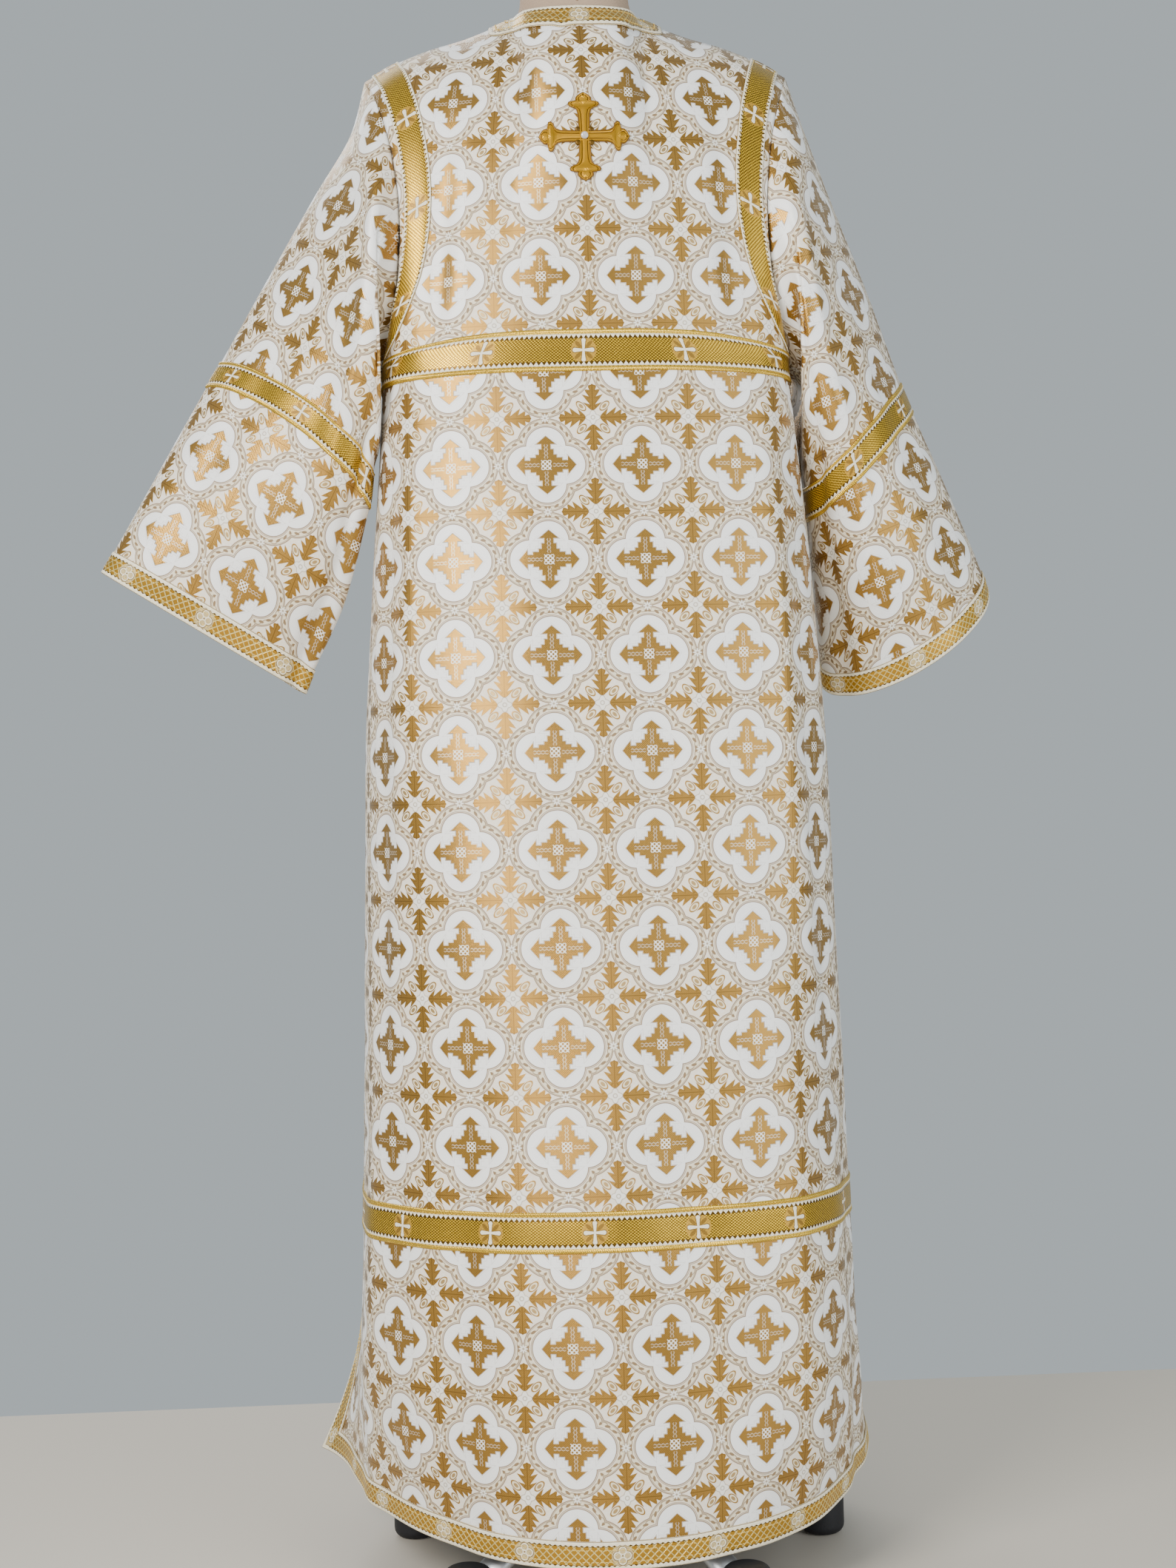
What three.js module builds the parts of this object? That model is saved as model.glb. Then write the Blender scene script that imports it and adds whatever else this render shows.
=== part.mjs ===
// A deacon's sticharion of brocade, filled out on a limbless dress form that stands on a
// five-legged base. Millimetres, +Z up. The wearer faces -Y, so the back is on +Y and the
// wearer's left is on +X. Every garment piece is a cloth wall lofted from the short tables below.
import * as THREE from 'three';

// --- driving dimensions ------------------------------------------------------------------
const CLOTH = 1.8; // brocade with its lining, one wall
const TRIM = 1.2; // woven galloon
const TRIM_GAP = 0.3; // galloon to the panel below it
const SEAM_GAP = 0.3; // piece to piece at a seam
const FORM_GAP = 0.5; // cloth to the dress form where it rests
const WIDE_TRIM = 40; // galloon on armholes, yoke, sleeves and skirt
const NARROW_TRIM = 27; // galloon on neck, cuffs, hem and vents

const HEM_HEIGHT = 57;
const SKIRT_BAND = [347, 385];
const YOKE_BAND_BOTTOM = 1176;
const YOKE_BAND_TOP = 0.07; // as a fraction of the way from underarm to shoulder
const UNDERARM_HEIGHT = 1196;
const VENT_TOP = 480;
const VENT_TRIM_TOP = 460;
const VENT_SPREAD = 30; // how far the back corner stands outside the front one at the hem
const NECK_SLIT = 150; // centre front opening that lets the head through
const NECK_SLIT_WIDTH = 2;

const CENTRE_SHIFT = [-37, 13]; // puts the origin under the middle of the whole outline

// --- body: horizontal sections below the underarm ------------------------------------------
// left, right: half widths at the side seam. seam: how far the seam lies behind the middle.
// back, front: centre lines. crown: how far the panel falls away before it turns the corner.
// square: exponent of the corner, 2 is an ellipse.
const SECTIONS = [
  { height: 57, left: 272, right: 271, seam: -100, back: 219, front: -252, crown: 50, square: 2.3, rise: 33 },
  { height: 110, left: 263, right: 263, seam: -92, back: 219, front: -246, crown: 62, square: 2.8, rise: 26 },
  { height: 165, left: 256, right: 256, seam: -84, back: 218, front: -238, crown: 76, square: 3.8, rise: 18 },
  { height: 225, left: 251, right: 249, seam: -78, back: 218, front: -230, crown: 84, square: 5.0, rise: 10 },
  { height: 300, left: 247, right: 246, seam: -70, back: 216, front: -220, crown: 76, square: 5.0, rise: 3 },
  { height: 385, left: 244, right: 244, seam: -64, back: 209, front: -210, crown: 62, square: 4.6, rise: 0 },
  { height: 520, left: 240, right: 240, seam: -56, back: 196, front: -196, crown: 42, square: 4.2, rise: 0 },
  { height: 680, left: 235, right: 236, seam: -48, back: 181, front: -180, crown: 22, square: 3.9, rise: 0 },
  { height: 840, left: 229, right: 231, seam: -38, back: 167, front: -166, crown: 10, square: 3.8, rise: 0 },
  { height: 1000, left: 218, right: 221, seam: -24, back: 151, front: -152, crown: 8, square: 3.7, rise: 0 },
  { height: 1110, left: 208, right: 211, seam: -8, back: 137, front: -134, crown: 12, square: 3.8, rise: 0 },
  { height: 1196, left: 202, right: 202, seam: 5, back: 127, front: -120, crown: 16, square: 4.2, rise: -4 },
];

// --- body: armhole seam and centre lines above the underarm ----------------------------------
// at: fraction of the way up. side, depth, height: a point of the armhole seam on the back;
// frontDepth is the same on the front. The centre lines end at the neckline.
const ARMHOLE = [
  { at: 0.0, side: 202, depth: 5, frontDepth: 5, height: 1192 },
  { at: 0.07, side: 200, depth: 30, frontDepth: -20, height: 1200 },
  { at: 0.17, side: 194, depth: 55, frontDepth: -44, height: 1222 },
  { at: 0.35, side: 184, depth: 76, frontDepth: -66, height: 1279 },
  { at: 0.55, side: 181, depth: 79, frontDepth: -69, height: 1348 },
  { at: 0.75, side: 189, depth: 63, frontDepth: -57, height: 1415 },
  { at: 0.9, side: 203, depth: 36, frontDepth: -36, height: 1467 },
  { at: 1.0, side: 214, depth: -5, frontDepth: -5, height: 1496 },
];
const CENTRES = [
  { at: 0.0, back: 127, backHeight: 1196, front: -120, frontHeight: 1196 },
  { at: 0.07, back: 127, backHeight: 1217, front: -121, frontHeight: 1217 },
  { at: 0.2, back: 127, backHeight: 1263, front: -122, frontHeight: 1258 },
  { at: 0.4, back: 124, backHeight: 1337, front: -119, frontHeight: 1319 },
  { at: 0.6, back: 117, backHeight: 1411, front: -110, frontHeight: 1378 },
  { at: 0.78, back: 104, backHeight: 1475, front: -94, frontHeight: 1431 },
  { at: 0.9, back: 84, backHeight: 1519, front: -78, frontHeight: 1463 },
  { at: 1.0, back: 56, backHeight: 1551, front: -62, frontHeight: 1484 },
];
const UPPER_CROWN = 30;
const UPPER_SQUARE = 4.2;
const HEM_FLARE = { left: 28, right: 0, top: 235, reach: 0.3 }; // the back's vent edge turns out here
const SHOULDER_BLEND = 2.4; // how late a section turns into the shoulder line on its way up

// --- body: top edges, from the middle to the neck point and on to the shoulder tip -----------
const NECK_POINT = [62, 2, 1556];
const NECK_BACK = [[0, 56, 1551], [30, 52, 1551], [51, 36, 1553], NECK_POINT];
const NECK_FRONT = [[0, -62, 1484], [28, -59, 1489], [50, -42, 1511], [60, -18, 1540], NECK_POINT];
const SHOULDER = [NECK_POINT, [111, 0, 1537], [150, -2, 1526], [186, -4, 1512], [214, -5, 1496]];

// --- sleeves: rings through four lines ---------------------------------------------------------
// at: fraction from armhole to cuff. top, back, bottom, front: points of a ring, x outwards.
const LEFT_SLEEVE = [
  { at: 0.0, top: [214, -5, 1496], back: [179, 78, 1322], bottom: [202, 5, 1192], front: [179, -68, 1322] },
  { at: 0.1, top: [230, -5, 1442], back: [198, 104, 1304], bottom: [223, 7, 1176], front: [200, -84, 1304] },
  { at: 0.22, top: [266, -6, 1384], back: [206, 108, 1252], bottom: [226, 12, 1152], front: [212, -84, 1256] },
  { at: 0.4, top: [317, -8, 1299], back: [224, 94, 1192], bottom: [223, 24, 1122], front: [236, -74, 1196] },
  { at: 0.567, top: [366, -9, 1216], back: [256, 76, 1148], bottom: [226, 30, 1092], front: [268, -66, 1146] },
  { at: 0.625, top: [382, -9, 1190], back: [272, 70, 1124], bottom: [229, 30, 1056], front: [282, -62, 1120] },
  { at: 0.8, top: [434, -12, 1103], back: [330, 50, 1038], bottom: [248, 16, 974], front: [334, -58, 1036] },
  { at: 0.955, top: [479, -14, 1027], back: [378, 26, 966], bottom: [281, -8, 903], front: [379, -55, 964] },
  { at: 1.0, top: [492, -15, 1006], back: [391, 16, 942], bottom: [291, -14, 879], front: [391, -54, 942] },
];
const RIGHT_SLEEVE = [
  { at: 0.0, top: [214, -5, 1496], back: [179, 78, 1322], bottom: [202, 5, 1192], front: [179, -68, 1322] },
  { at: 0.1, top: [233, -7, 1440], back: [202, 94, 1300], bottom: [223, 2, 1176], front: [200, -88, 1304] },
  { at: 0.22, top: [258, -10, 1372], back: [214, 94, 1244], bottom: [226, -8, 1150], front: [210, -92, 1250] },
  { at: 0.4, top: [293, -16, 1282], back: [234, 80, 1174], bottom: [224, -22, 1116], front: [230, -96, 1176] },
  { at: 0.567, top: [328, -24, 1186], back: [258, 62, 1108], bottom: [226, -38, 1082], front: [256, -102, 1104] },
  { at: 0.625, top: [341, -27, 1155], back: [268, 54, 1076], bottom: [229, -44, 1048], front: [266, -104, 1076] },
  { at: 0.8, top: [378, -36, 1072], back: [304, 34, 976], bottom: [237, -56, 966], front: [302, -108, 988] },
  { at: 0.955, top: [412, -46, 992], back: [326, 10, 908], bottom: [243, -64, 900], front: [328, -112, 928] },
  { at: 1.0, top: [419, -48, 969], back: [332, 2, 884], bottom: [245, -66, 878], front: [334, -114, 906] },
];
const UNDERARM_EASE = 1.2; // how far the sleeve stands off the panels at the underarm
const ARMHOLE_FADE = 0.3; // the seam's own shape is gone this far down the sleeve
const SLEEVE_BAND = [0.567, 0.625];
const CUFF_BAND = 0.955;
const SLEEVE_STATIONS = [0, 0.04, 0.09, 0.15, 0.22, 0.3, 0.39, 0.48, ...SLEEVE_BAND, 0.71, 0.8, 0.88, CUFF_BAND, 1];

// --- grids ---------------------------------------------------------------------------------------
const NECK_COLUMNS = 4;
const SHOULDER_COLUMNS = 7;
const SEAM_ALLOWANCE = 9; // the wide galloons stop this far short of the armhole seam
const SKIRT_ROWS = [0, 0, 110, 165, 225, 285, ...SKIRT_BAND, 460, 550, 650, 750, 850, 950, 1040, 1115];
const UPPER_ROWS = [0, YOKE_BAND_TOP, 0.17, 0.28, 0.4, 0.52, 0.63, 0.73, 0.82, 0.9, 0.955, 1];
const SECTION_STEPS = 60;

// --- appliqued cross on the back -------------------------------------------------------------------
const CROSS = { height: 1404, reach: 44, arm: 5, flare: 15, thickness: 1.6, lift: 0.7 };

// --- dress form and stand --------------------------------------------------------------------------
const FORM_EASE = 9; // cloth to form at the chest
const FORM_SIDE_STEPS = 6;
const FORM_LOWER = [
  { height: 1130, width: 168, depth: 108, centre: 2 },
  { height: 1060, width: 146, depth: 96, centre: 2 },
  { height: 1000, width: 134, depth: 90, centre: 2 },
  { height: 940, width: 142, depth: 96, centre: 4 },
  { height: 870, width: 160, depth: 106, centre: 6 },
  { height: 800, width: 166, depth: 110, centre: 8 },
  { height: 786, width: 158, depth: 103, centre: 8 },
];
const NECK_RINGS = [
  { height: 1566, width: 56.5, depth: 55, centre: 0 },
  { height: 1592, width: 54.5, depth: 54, centre: -3 },
  { height: 1612, width: 53, depth: 53, centre: -4 },
];
const NECK_CAP = { radius: 55, height: 8, edge: 2.5 };
const POLE_RADIUS = 16;
const POLE_AXIS_DEPTH = 8;
const HUB = { radius: 38, bottom: 62, top: 122, collar: 24, collarTop: 168 };
const LEG = { count: 5, width: 28, depth: 22, firstAngle: 48, start: 94, end: 35, sides: 12 };
const FOOT = { radius: 23, height: 50, round: 9, reach: 222 };

// --- small maths -------------------------------------------------------------------------------------
const add = (a, b, k = 1) => [a[0] + b[0] * k, a[1] + b[1] * k, a[2] + b[2] * k];
const scale = (a, k) => [a[0] * k, a[1] * k, a[2] * k];
const dot = (a, b) => a[0] * b[0] + a[1] * b[1] + a[2] * b[2];
const cross = (a, b) => [a[1] * b[2] - a[2] * b[1], a[2] * b[0] - a[0] * b[2], a[0] * b[1] - a[1] * b[0]];
const unit = (a) => scale(a, 1 / Math.max(Math.hypot(...a), 1e-9));
const mix = (a, b, k) => a + (b - a) * k;
const mixPoint = (a, b, k) => [mix(a[0], b[0], k), mix(a[1], b[1], k), mix(a[2], b[2], k)];
const smooth = (k) => k * k * (3 - 2 * k);
const clamp = (k, low, high) => Math.min(high, Math.max(low, k));

// A cubic through the knots (at, value) that keeps to them without overshooting much.
function cubic(knots, at) {
  let i = 0;
  while (i < knots.length - 2 && at > knots[i + 1][0]) i += 1;
  const slope = (j) => {
    const low = Math.max(j - 1, 0);
    const high = Math.min(j + 1, knots.length - 1);
    return (knots[high][1] - knots[low][1]) / (knots[high][0] - knots[low][0]);
  };
  const [x0, y0] = knots[i];
  const [x1, y1] = knots[i + 1];
  const span = x1 - x0;
  const t = (at - x0) / span;
  const rise = t * t * (3 - 2 * t);
  const leave = t * (1 - t) * (1 - t) * span * slope(i);
  const arrive = t * t * (t - 1) * span * slope(i + 1);
  return y0 + (y1 - y0) * rise + leave + arrive;
}

const look = (table, input, key, at) => cubic(table.map((row) => [row[input], row[key]]), at);

function lookPoint(table, key, at) {
  return [0, 1, 2].map((axis) => cubic(table.map((row) => [row.at, row[key][axis]]), at));
}

// The point a given share of the length along a polyline.
function along(points, share) {
  const lengths = [0];
  for (let i = 1; i < points.length; i += 1) {
    lengths.push(lengths[i - 1] + Math.hypot(...add(points[i], points[i - 1], -1)));
  }
  const target = share * lengths[lengths.length - 1];
  let i = 0;
  while (i < points.length - 2 && target > lengths[i + 1]) i += 1;
  return mixPoint(points[i], points[i + 1], (target - lengths[i]) / (lengths[i + 1] - lengths[i]));
}

const lengthOf = (points) => points.slice(1).reduce((sum, p, i) => sum + Math.hypot(...add(p, points[i], -1)), 0);

// A smooth curve through a few points, as a fine polyline.
function curve(points, steps) {
  const path = new THREE.CatmullRomCurve3(points.map((p) => new THREE.Vector3(...p)), false, 'centripetal');
  return path.getSpacedPoints(steps).map((p) => [p.x, p.y, p.z]);
}

// --- body surface ------------------------------------------------------------------------------------
// face is 'back' or 'front'. across runs from -1 at the right seam to 1 at the left one, as a
// share of the half panel's own length. up runs 0 to 1 from hem to underarm and on to 2 at the top.
const shoulderLine = curve(SHOULDER, 24);
const topEdges = {};
const neckShare = {};
for (const [face, neckline] of [['back', NECK_BACK], ['front', NECK_FRONT]]) {
  const neck = curve(neckline, 24);
  topEdges[face] = [...neck, ...shoulderLine.slice(1)];
  neckShare[face] = lengthOf(neck) / lengthOf(topEdges[face]);
}

// Half a section from the middle (0) to the seam point, before it is mirrored.
function squareSection(seam, middle, crown, square, flare = 0) {
  const points = [];
  for (let i = 0; i <= SECTION_STEPS; i += 1) {
    const angle = (i / SECTION_STEPS) * (Math.PI / 2);
    const out = Math.sin(angle) ** (2 / square);
    const deep = Math.cos(angle) ** (2 / square);
    const fall = Math.sign(middle[1] - seam[1]) * crown * out * out;
    const y = seam[1] + (middle[1] - fall - seam[1]) * deep;
    const turnOut = flare * Math.max(0, 1 - deep / HEM_FLARE.reach) ** 2;
    points.push([seam[0] * out + turnOut, y, mix(middle[2], seam[2], out ** 3)]);
  }
  return points;
}

function halfSection(face, side, up) {
  const isBack = face === 'back';
  if (up <= 1) {
    const height = mix(HEM_HEIGHT, UNDERARM_HEIGHT, up);
    const at = (key) => look(SECTIONS, 'height', key, height);
    const open = isBack ? 0 : VENT_SPREAD * clamp((VENT_TOP - height) / (VENT_TOP - HEM_HEIGHT), 0, 1) ** 2;
    const seam = [at(side) - open, at('seam') - open * 0.4, height + at('rise') * (isBack ? 1 : 0.5)];
    const low = clamp((HEM_FLARE.top - height) / (HEM_FLARE.top - HEM_HEIGHT), 0, 1);
    const flare = isBack ? HEM_FLARE[side] * low ** 1.5 : 0;
    return squareSection(seam, [0, at(face), height], at('crown') * (isBack ? 1 : 0.6), at('square'), flare);
  }
  const t = up - 1;
  const depth = look(ARMHOLE, 'at', isBack ? 'depth' : 'frontDepth', t);
  const seam = [look(ARMHOLE, 'at', 'side', t), depth, look(ARMHOLE, 'at', 'height', t)];
  const middle = [0, look(CENTRES, 'at', face, t), look(CENTRES, 'at', `${face}Height`, t)];
  const crown = mix(SECTIONS[SECTIONS.length - 1].crown, UPPER_CROWN, clamp(t / 0.3, 0, 1));
  const section = squareSection(seam, middle, crown, UPPER_SQUARE);
  const edge = topEdges[face];
  const last = edge.length - 1;
  const blend = t ** SHOULDER_BLEND;
  return section.map((_, i) => {
    const share = i / SECTION_STEPS;
    const low = along(section, share);
    const high = along(edge, share);
    const fromMiddle = scale(add(middle, edge[0], -1), 1 - share);
    const fromSeam = scale(add(seam, edge[last], -1), share);
    return mixPoint(low, add(add(high, fromMiddle), fromSeam), blend);
  });
}

const sectionStore = new Map();
function storedSection(face, side, up) {
  const key = `${face} ${side} ${up.toFixed(6)}`;
  if (!sectionStore.has(key)) sectionStore.set(key, halfSection(face, side, up));
  return sectionStore.get(key);
}

const halfLine = (face, side, up) => (up >= 2 ? topEdges[face] : storedSection(face, side, Math.max(up, 0)));

function bodyPoint(face, across, up) {
  const half = halfLine(face, across >= 0 ? 'left' : 'right', up);
  const point = along(half, Math.min(Math.abs(across), 1));
  return across >= 0 ? point : [-point[0], point[1], point[2]];
}

function bodyNormal(face, across, up) {
  const step = 0.004;
  const inside = clamp(across, -1 + step, 1 - step);
  const level = clamp(up, step, 2 - step);
  const sideways = add(bodyPoint(face, inside + step, level), bodyPoint(face, inside - step, level), -1);
  const upwards = add(bodyPoint(face, inside, level + step), bodyPoint(face, inside, level - step), -1);
  const normal = unit(cross(sideways, upwards));
  return face === 'back' ? scale(normal, -1) : normal;
}

// --- closed shells --------------------------------------------------------------------------------------
function volumeOf(points, faces) {
  return faces.reduce((sum, [a, b, c]) => sum + dot(points[a], cross(points[b], points[c])), 0);
}

function solid(name, points, faces, material) {
  const oriented = volumeOf(points, faces) < 0 ? faces.map(([a, b, c]) => [a, c, b]) : faces;
  const geometry = new THREE.BufferGeometry();
  geometry.setAttribute('position', new THREE.Float32BufferAttribute(points.flat(), 3));
  geometry.setIndex(oriented.flat());
  geometry.computeVertexNormals();
  const mesh = new THREE.Mesh(geometry, material);
  mesh.name = name;
  return mesh;
}

// A wall over a grid of { point, normal }: the outer face is the grid, the inner one lies a
// thickness behind it, and every free edge is closed. ring joins the last column to the first.
// isOpen leaves a cell out, isTurned splits it along its other diagonal.
function wall(name, rows, thickness, material, { ring = false, isOpen = () => false, isTurned = () => false } = {}) {
  const columns = rows[0].length;
  const nodes = rows.flat();
  const points = [...nodes.map((n) => n.point), ...nodes.map((n) => add(n.point, n.normal, -thickness))];
  const inner = nodes.length;
  const faces = [];
  const edges = new Map();
  const note = (a, b) => {
    const reverse = `${b} ${a}`;
    if (edges.has(reverse)) edges.delete(reverse);
    else edges.set(`${a} ${b}`, [a, b]);
  };
  for (let i = 0; i < rows.length - 1; i += 1) {
    for (let j = 0; j < (ring ? columns : columns - 1); j += 1) {
      if (isOpen(i, j)) continue;
      const a = i * columns + j;
      const b = i * columns + ((j + 1) % columns);
      const c = b + columns;
      const d = a + columns;
      const halves = isTurned(i, j) ? [[a, b, d], [b, c, d]] : [[a, b, c], [a, c, d]];
      for (const [p, q, r] of halves) faces.push([p, q, r], [inner + p, inner + r, inner + q]);
      note(a, b);
      note(b, c);
      note(c, d);
      note(d, a);
    }
  }
  for (const [a, b] of edges.values()) faces.push([b, a, inner + a], [b, inner + a, inner + b]);
  const used = [...new Set(faces.flat())].sort((a, b) => a - b);
  const place = new Map(used.map((index, k) => [index, k]));
  return solid(name, used.map((index) => points[index]), faces.map((f) => f.map((k) => place.get(k))), material);
}

// A galloon over part of a grid, lifted off it by the trim's gap.
function trim(name, rows, options) {
  const lifted = rows.map((row) => row.map(({ point, normal }) => ({
    point: add(point, normal, TRIM_GAP + TRIM),
    normal,
  })));
  return wall(name, lifted, TRIM, galloon, options);
}

// Moves a node along the grid, so that two galloons stay a seam gap apart.
function nudge(node, towards) {
  const way = unit(add(towards.point, node.point, -1));
  return { point: add(node.point, way, 2 * SEAM_GAP), normal: node.normal };
}

// --- materials ----------------------------------------------------------------------------------------------
const brocade = new THREE.MeshStandardMaterial({ color: 0xe9dfc8, roughness: 0.45, metalness: 0.15 });
const galloon = new THREE.MeshStandardMaterial({ color: 0xc9a227, roughness: 0.35, metalness: 0.6 });
const embroidery = new THREE.MeshStandardMaterial({ color: 0xb98a1f, roughness: 0.4, metalness: 0.6 });
const linen = new THREE.MeshStandardMaterial({ color: 0xaf9682, roughness: 0.95, metalness: 0 });
const steel = new THREE.MeshStandardMaterial({ color: 0xb9bcc0, roughness: 0.35, metalness: 0.7 });
const rubber = new THREE.MeshStandardMaterial({ color: 0x18181a, roughness: 0.6, metalness: 0 });

// --- body panels ----------------------------------------------------------------------------------------------
const upOf = (height) => (height - HEM_HEIGHT) / (UNDERARM_HEIGHT - HEM_HEIGHT);
const hemRows = SKIRT_ROWS.map((height, i) => (i < 2 ? upOf(HEM_HEIGHT + i * NARROW_TRIM) : upOf(height)));
const bodyRows = [...hemRows, upOf(YOKE_BAND_BOTTOM), ...UPPER_ROWS.map((t) => 1 + t)];

// Shares of the half panel at which its columns stand; the last two bound the edge trim.
function columnShares(face, side, up) {
  const length = lengthOf(halfLine(face, side, up));
  const trimWidth = mix(NARROW_TRIM, WIDE_TRIM, smooth(clamp((up - 0.4) / 0.5, 0, 1)));
  const edge = 1 - trimWidth / length;
  const neck = neckShare[face];
  const shares = [];
  for (let j = 0; j <= NECK_COLUMNS; j += 1) shares.push((neck * j) / NECK_COLUMNS);
  for (let j = 1; j <= SHOULDER_COLUMNS; j += 1) shares.push(mix(neck, edge, j / SHOULDER_COLUMNS));
  return [...shares, 1 - SEAM_ALLOWANCE / length, 1];
}

// The grid's edges use the seam's own normals and stand half a seam gap back from the seam.
function bodyNode(face, across, up) {
  const isBack = face === 'back';
  let point = bodyPoint(face, across, up);
  let normal = bodyNormal(face, across, up);
  const outwards = Math.sign(across);
  const onSide = Math.abs(across) === 1;
  if (onSide && up <= 1) {
    normal = unit([outwards, 0, 0]);
    point = add(point, [0, isBack ? 1 : -1, 0], SEAM_GAP / 2);
  }
  if (onSide && up > 1) normal = tipNormal(normal, outwards, up - 1);
  if (up === 2) {
    if (Math.abs(across) >= neckShare[face] - 1e-6) {
      normal = onSide ? tipNormal(normal, outwards, 1) : unit([outwards * 0.4, 0, 0.92]);
      point = add(point, [0, isBack ? 1 : -1, 0], SEAM_GAP / 2);
    }
  }
  return { point, normal };
}

// Near the shoulder tip panel and sleeve share one normal, so that their edges run side by side;
// lower down the seam is a valley and each keeps its own.
const TIP_NORMAL = [0.6, 0, 0.8];
function tipNormal(own, outwards, t) {
  const shared = [TIP_NORMAL[0] * outwards, TIP_NORMAL[1], TIP_NORMAL[2]];
  return unit(mixPoint(own, shared, smooth(clamp((t - 0.55) / 0.45, 0, 1))));
}

function bodyGrid(face) {
  return bodyRows.map((up) => {
    const right = columnShares(face, 'right', up).slice(1).reverse();
    const left = columnShares(face, 'left', up).slice(1);
    const shares = [...right.map((share) => -share), 0, ...left];
    return shares.map((share) => bodyNode(face, share, up));
  });
}

const backGrid = bodyGrid('back');
const frontGrid = bodyGrid('front');

// The front's middle column is doubled, so that the neck slit can part it.
const middleColumn = NECK_COLUMNS + SHOULDER_COLUMNS + 2;
const slitGrid = frontGrid.map((row) => {
  const { point, normal } = row[middleColumn];
  const sides = [-1, 1].map((s) => ({ point: add(point, [(s * NECK_SLIT_WIDTH) / 2, 0, 0]), normal }));
  return [...row.slice(0, middleColumn), ...sides, ...row.slice(middleColumn + 1)];
});
const neckTop = frontGrid[frontGrid.length - 1][middleColumn].point[2];
const inSlit = (i, j) => j === middleColumn && frontGrid[i][middleColumn].point[2] > neckTop - NECK_SLIT;

// --- trims on the body ------------------------------------------------------------------------------------------
const rowAt = (up) => bodyRows.findIndex((value) => Math.abs(value - up) < 1e-9);
const cut = (grid, rowLow, rowHigh, columnLow, columnHigh) => (
  grid.slice(rowLow, rowHigh + 1).map((row) => row.slice(columnLow, columnHigh + 1)));
const lastColumn = backGrid[0].length - 1;
const yokeRows = [rowAt(upOf(YOKE_BAND_BOTTOM)), rowAt(1 + YOKE_BAND_TOP)];
const skirtRows = SKIRT_BAND.map((height) => rowAt(upOf(height)));
const topRow = bodyRows.length - 1;

// The armhole galloon climbs the back edge, crosses the shoulder and comes down the front edge.
function armholeTrim(name, left) {
  const columns = left ? [lastColumn - 2, lastColumn - 1] : [1, 2];
  const strip = (grid) => {
    const rows = cut(grid, yokeRows[1], topRow, ...columns);
    return [rows[0].map((node, j) => nudge(node, rows[1][j])), ...rows.slice(1)];
  };
  const back = strip(backGrid);
  const front = strip(frontGrid).reverse();
  const ridge = back[back.length - 1].map((node, j) => ({
    point: mixPoint(node.point, front[0][j].point, 0.5),
    normal: node.normal,
  }));
  const isTurned = (i) => i >= back.length - 1;
  return trim(name, [...back.slice(0, -1), ridge, ...front.slice(1)], { isTurned });
}

// The hem galloon runs along the hem and turns up both vent edges to the vent's top.
function hemTrim(name, grid) {
  const rows = grid.slice(0, rowAt(upOf(VENT_TRIM_TOP)) + 1);
  const isOpen = (i, j) => i > 0 && j > 1 && j < lastColumn - 2;
  return trim(name, rows, { isOpen });
}

// The skirt galloon runs from one vent's galloon to the other's, the yoke galloon to the armholes.
function bandTrim(name, grid, rows, inset) {
  const band = cut(grid, ...rows, inset, lastColumn - inset).map((row) => {
    const last = row.length - 1;
    return [nudge(row[0], row[1]), ...row.slice(1, -1), nudge(row[last], row[last - 1])];
  });
  return trim(name, band);
}

// The neck galloon is a band whose outer edge runs from the shoulders down to its own width
// below the neckline at the middle of the back and of the front.
const NECK_BAND = { shoulder: 0.105, back: 0.085, front: 0.115, bend: 4, steps: 14, ease: 0.8 };
function neckBandRow(face, share, depth) {
  const neck = neckShare[face];
  const inner = { across: neck * share, up: 2 };
  const drop = NECK_BAND[face] * (1 - Math.abs(share) ** NECK_BAND.bend) ** (1 / NECK_BAND.bend);
  const outer = { across: (neck + NECK_BAND.shoulder) * share, up: 2 - drop };
  const across = mix(inner.across, outer.across, depth);
  const up = mix(inner.up, outer.up, depth);
  const point = bodyPoint(face, across, up);
  const normal = Math.abs(share) === 1 ? unit([share * 0.4, 0, 0.92]) : bodyNormal(face, across, Math.min(up, 1.985));
  return { point: add(point, normal, NECK_BAND.ease), normal };
}

function neckTrim() {
  const rows = [0, 0.5, 1].map((depth) => {
    const row = [];
    const steps = NECK_BAND.steps;
    const slit = (NECK_SLIT_WIDTH / 2) / (lengthOf(topEdges.front) * neckShare.front);
    for (let i = 0; i < steps; i += 1) row.push(neckBandRow('front', mix(slit, 1, i / steps), depth));
    for (let i = 0; i < 2 * steps; i += 1) row.push(neckBandRow('back', mix(1, -1, i / (2 * steps)), depth));
    for (let i = 0; i <= steps; i += 1) row.push(neckBandRow('front', mix(-1, -slit, i / steps), depth));
    return row;
  });
  return trim('neck_galloon', rows);
}

// --- sleeves -----------------------------------------------------------------------------------------------------
// A ring's columns start at the shoulder, go down the back to the underarm and up the front.
function armholeRing(left) {
  const column = left ? lastColumn : 0;
  const heights = UPPER_ROWS.map((t, i) => ({ height: t, row: rowAt(1 + t), isEnd: i === 0 || t === 1 }));
  const back = [...heights].reverse().map((place) => ({ ...place, node: backGrid[place.row][column] }));
  const front = heights.slice(1, -1).map((place) => ({ ...place, node: frontGrid[place.row][column] }));
  return [...back, ...front].map(({ height, isEnd, node }) => {
    const [x, y, z] = node.point;
    const eased = x + Math.sign(x) * UNDERARM_EASE * clamp(1 - height / 0.17, 0, 1);
    return { height, base: [eased, isEnd ? y - SEAM_GAP / 2 : y, z] };
  });
}

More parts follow.
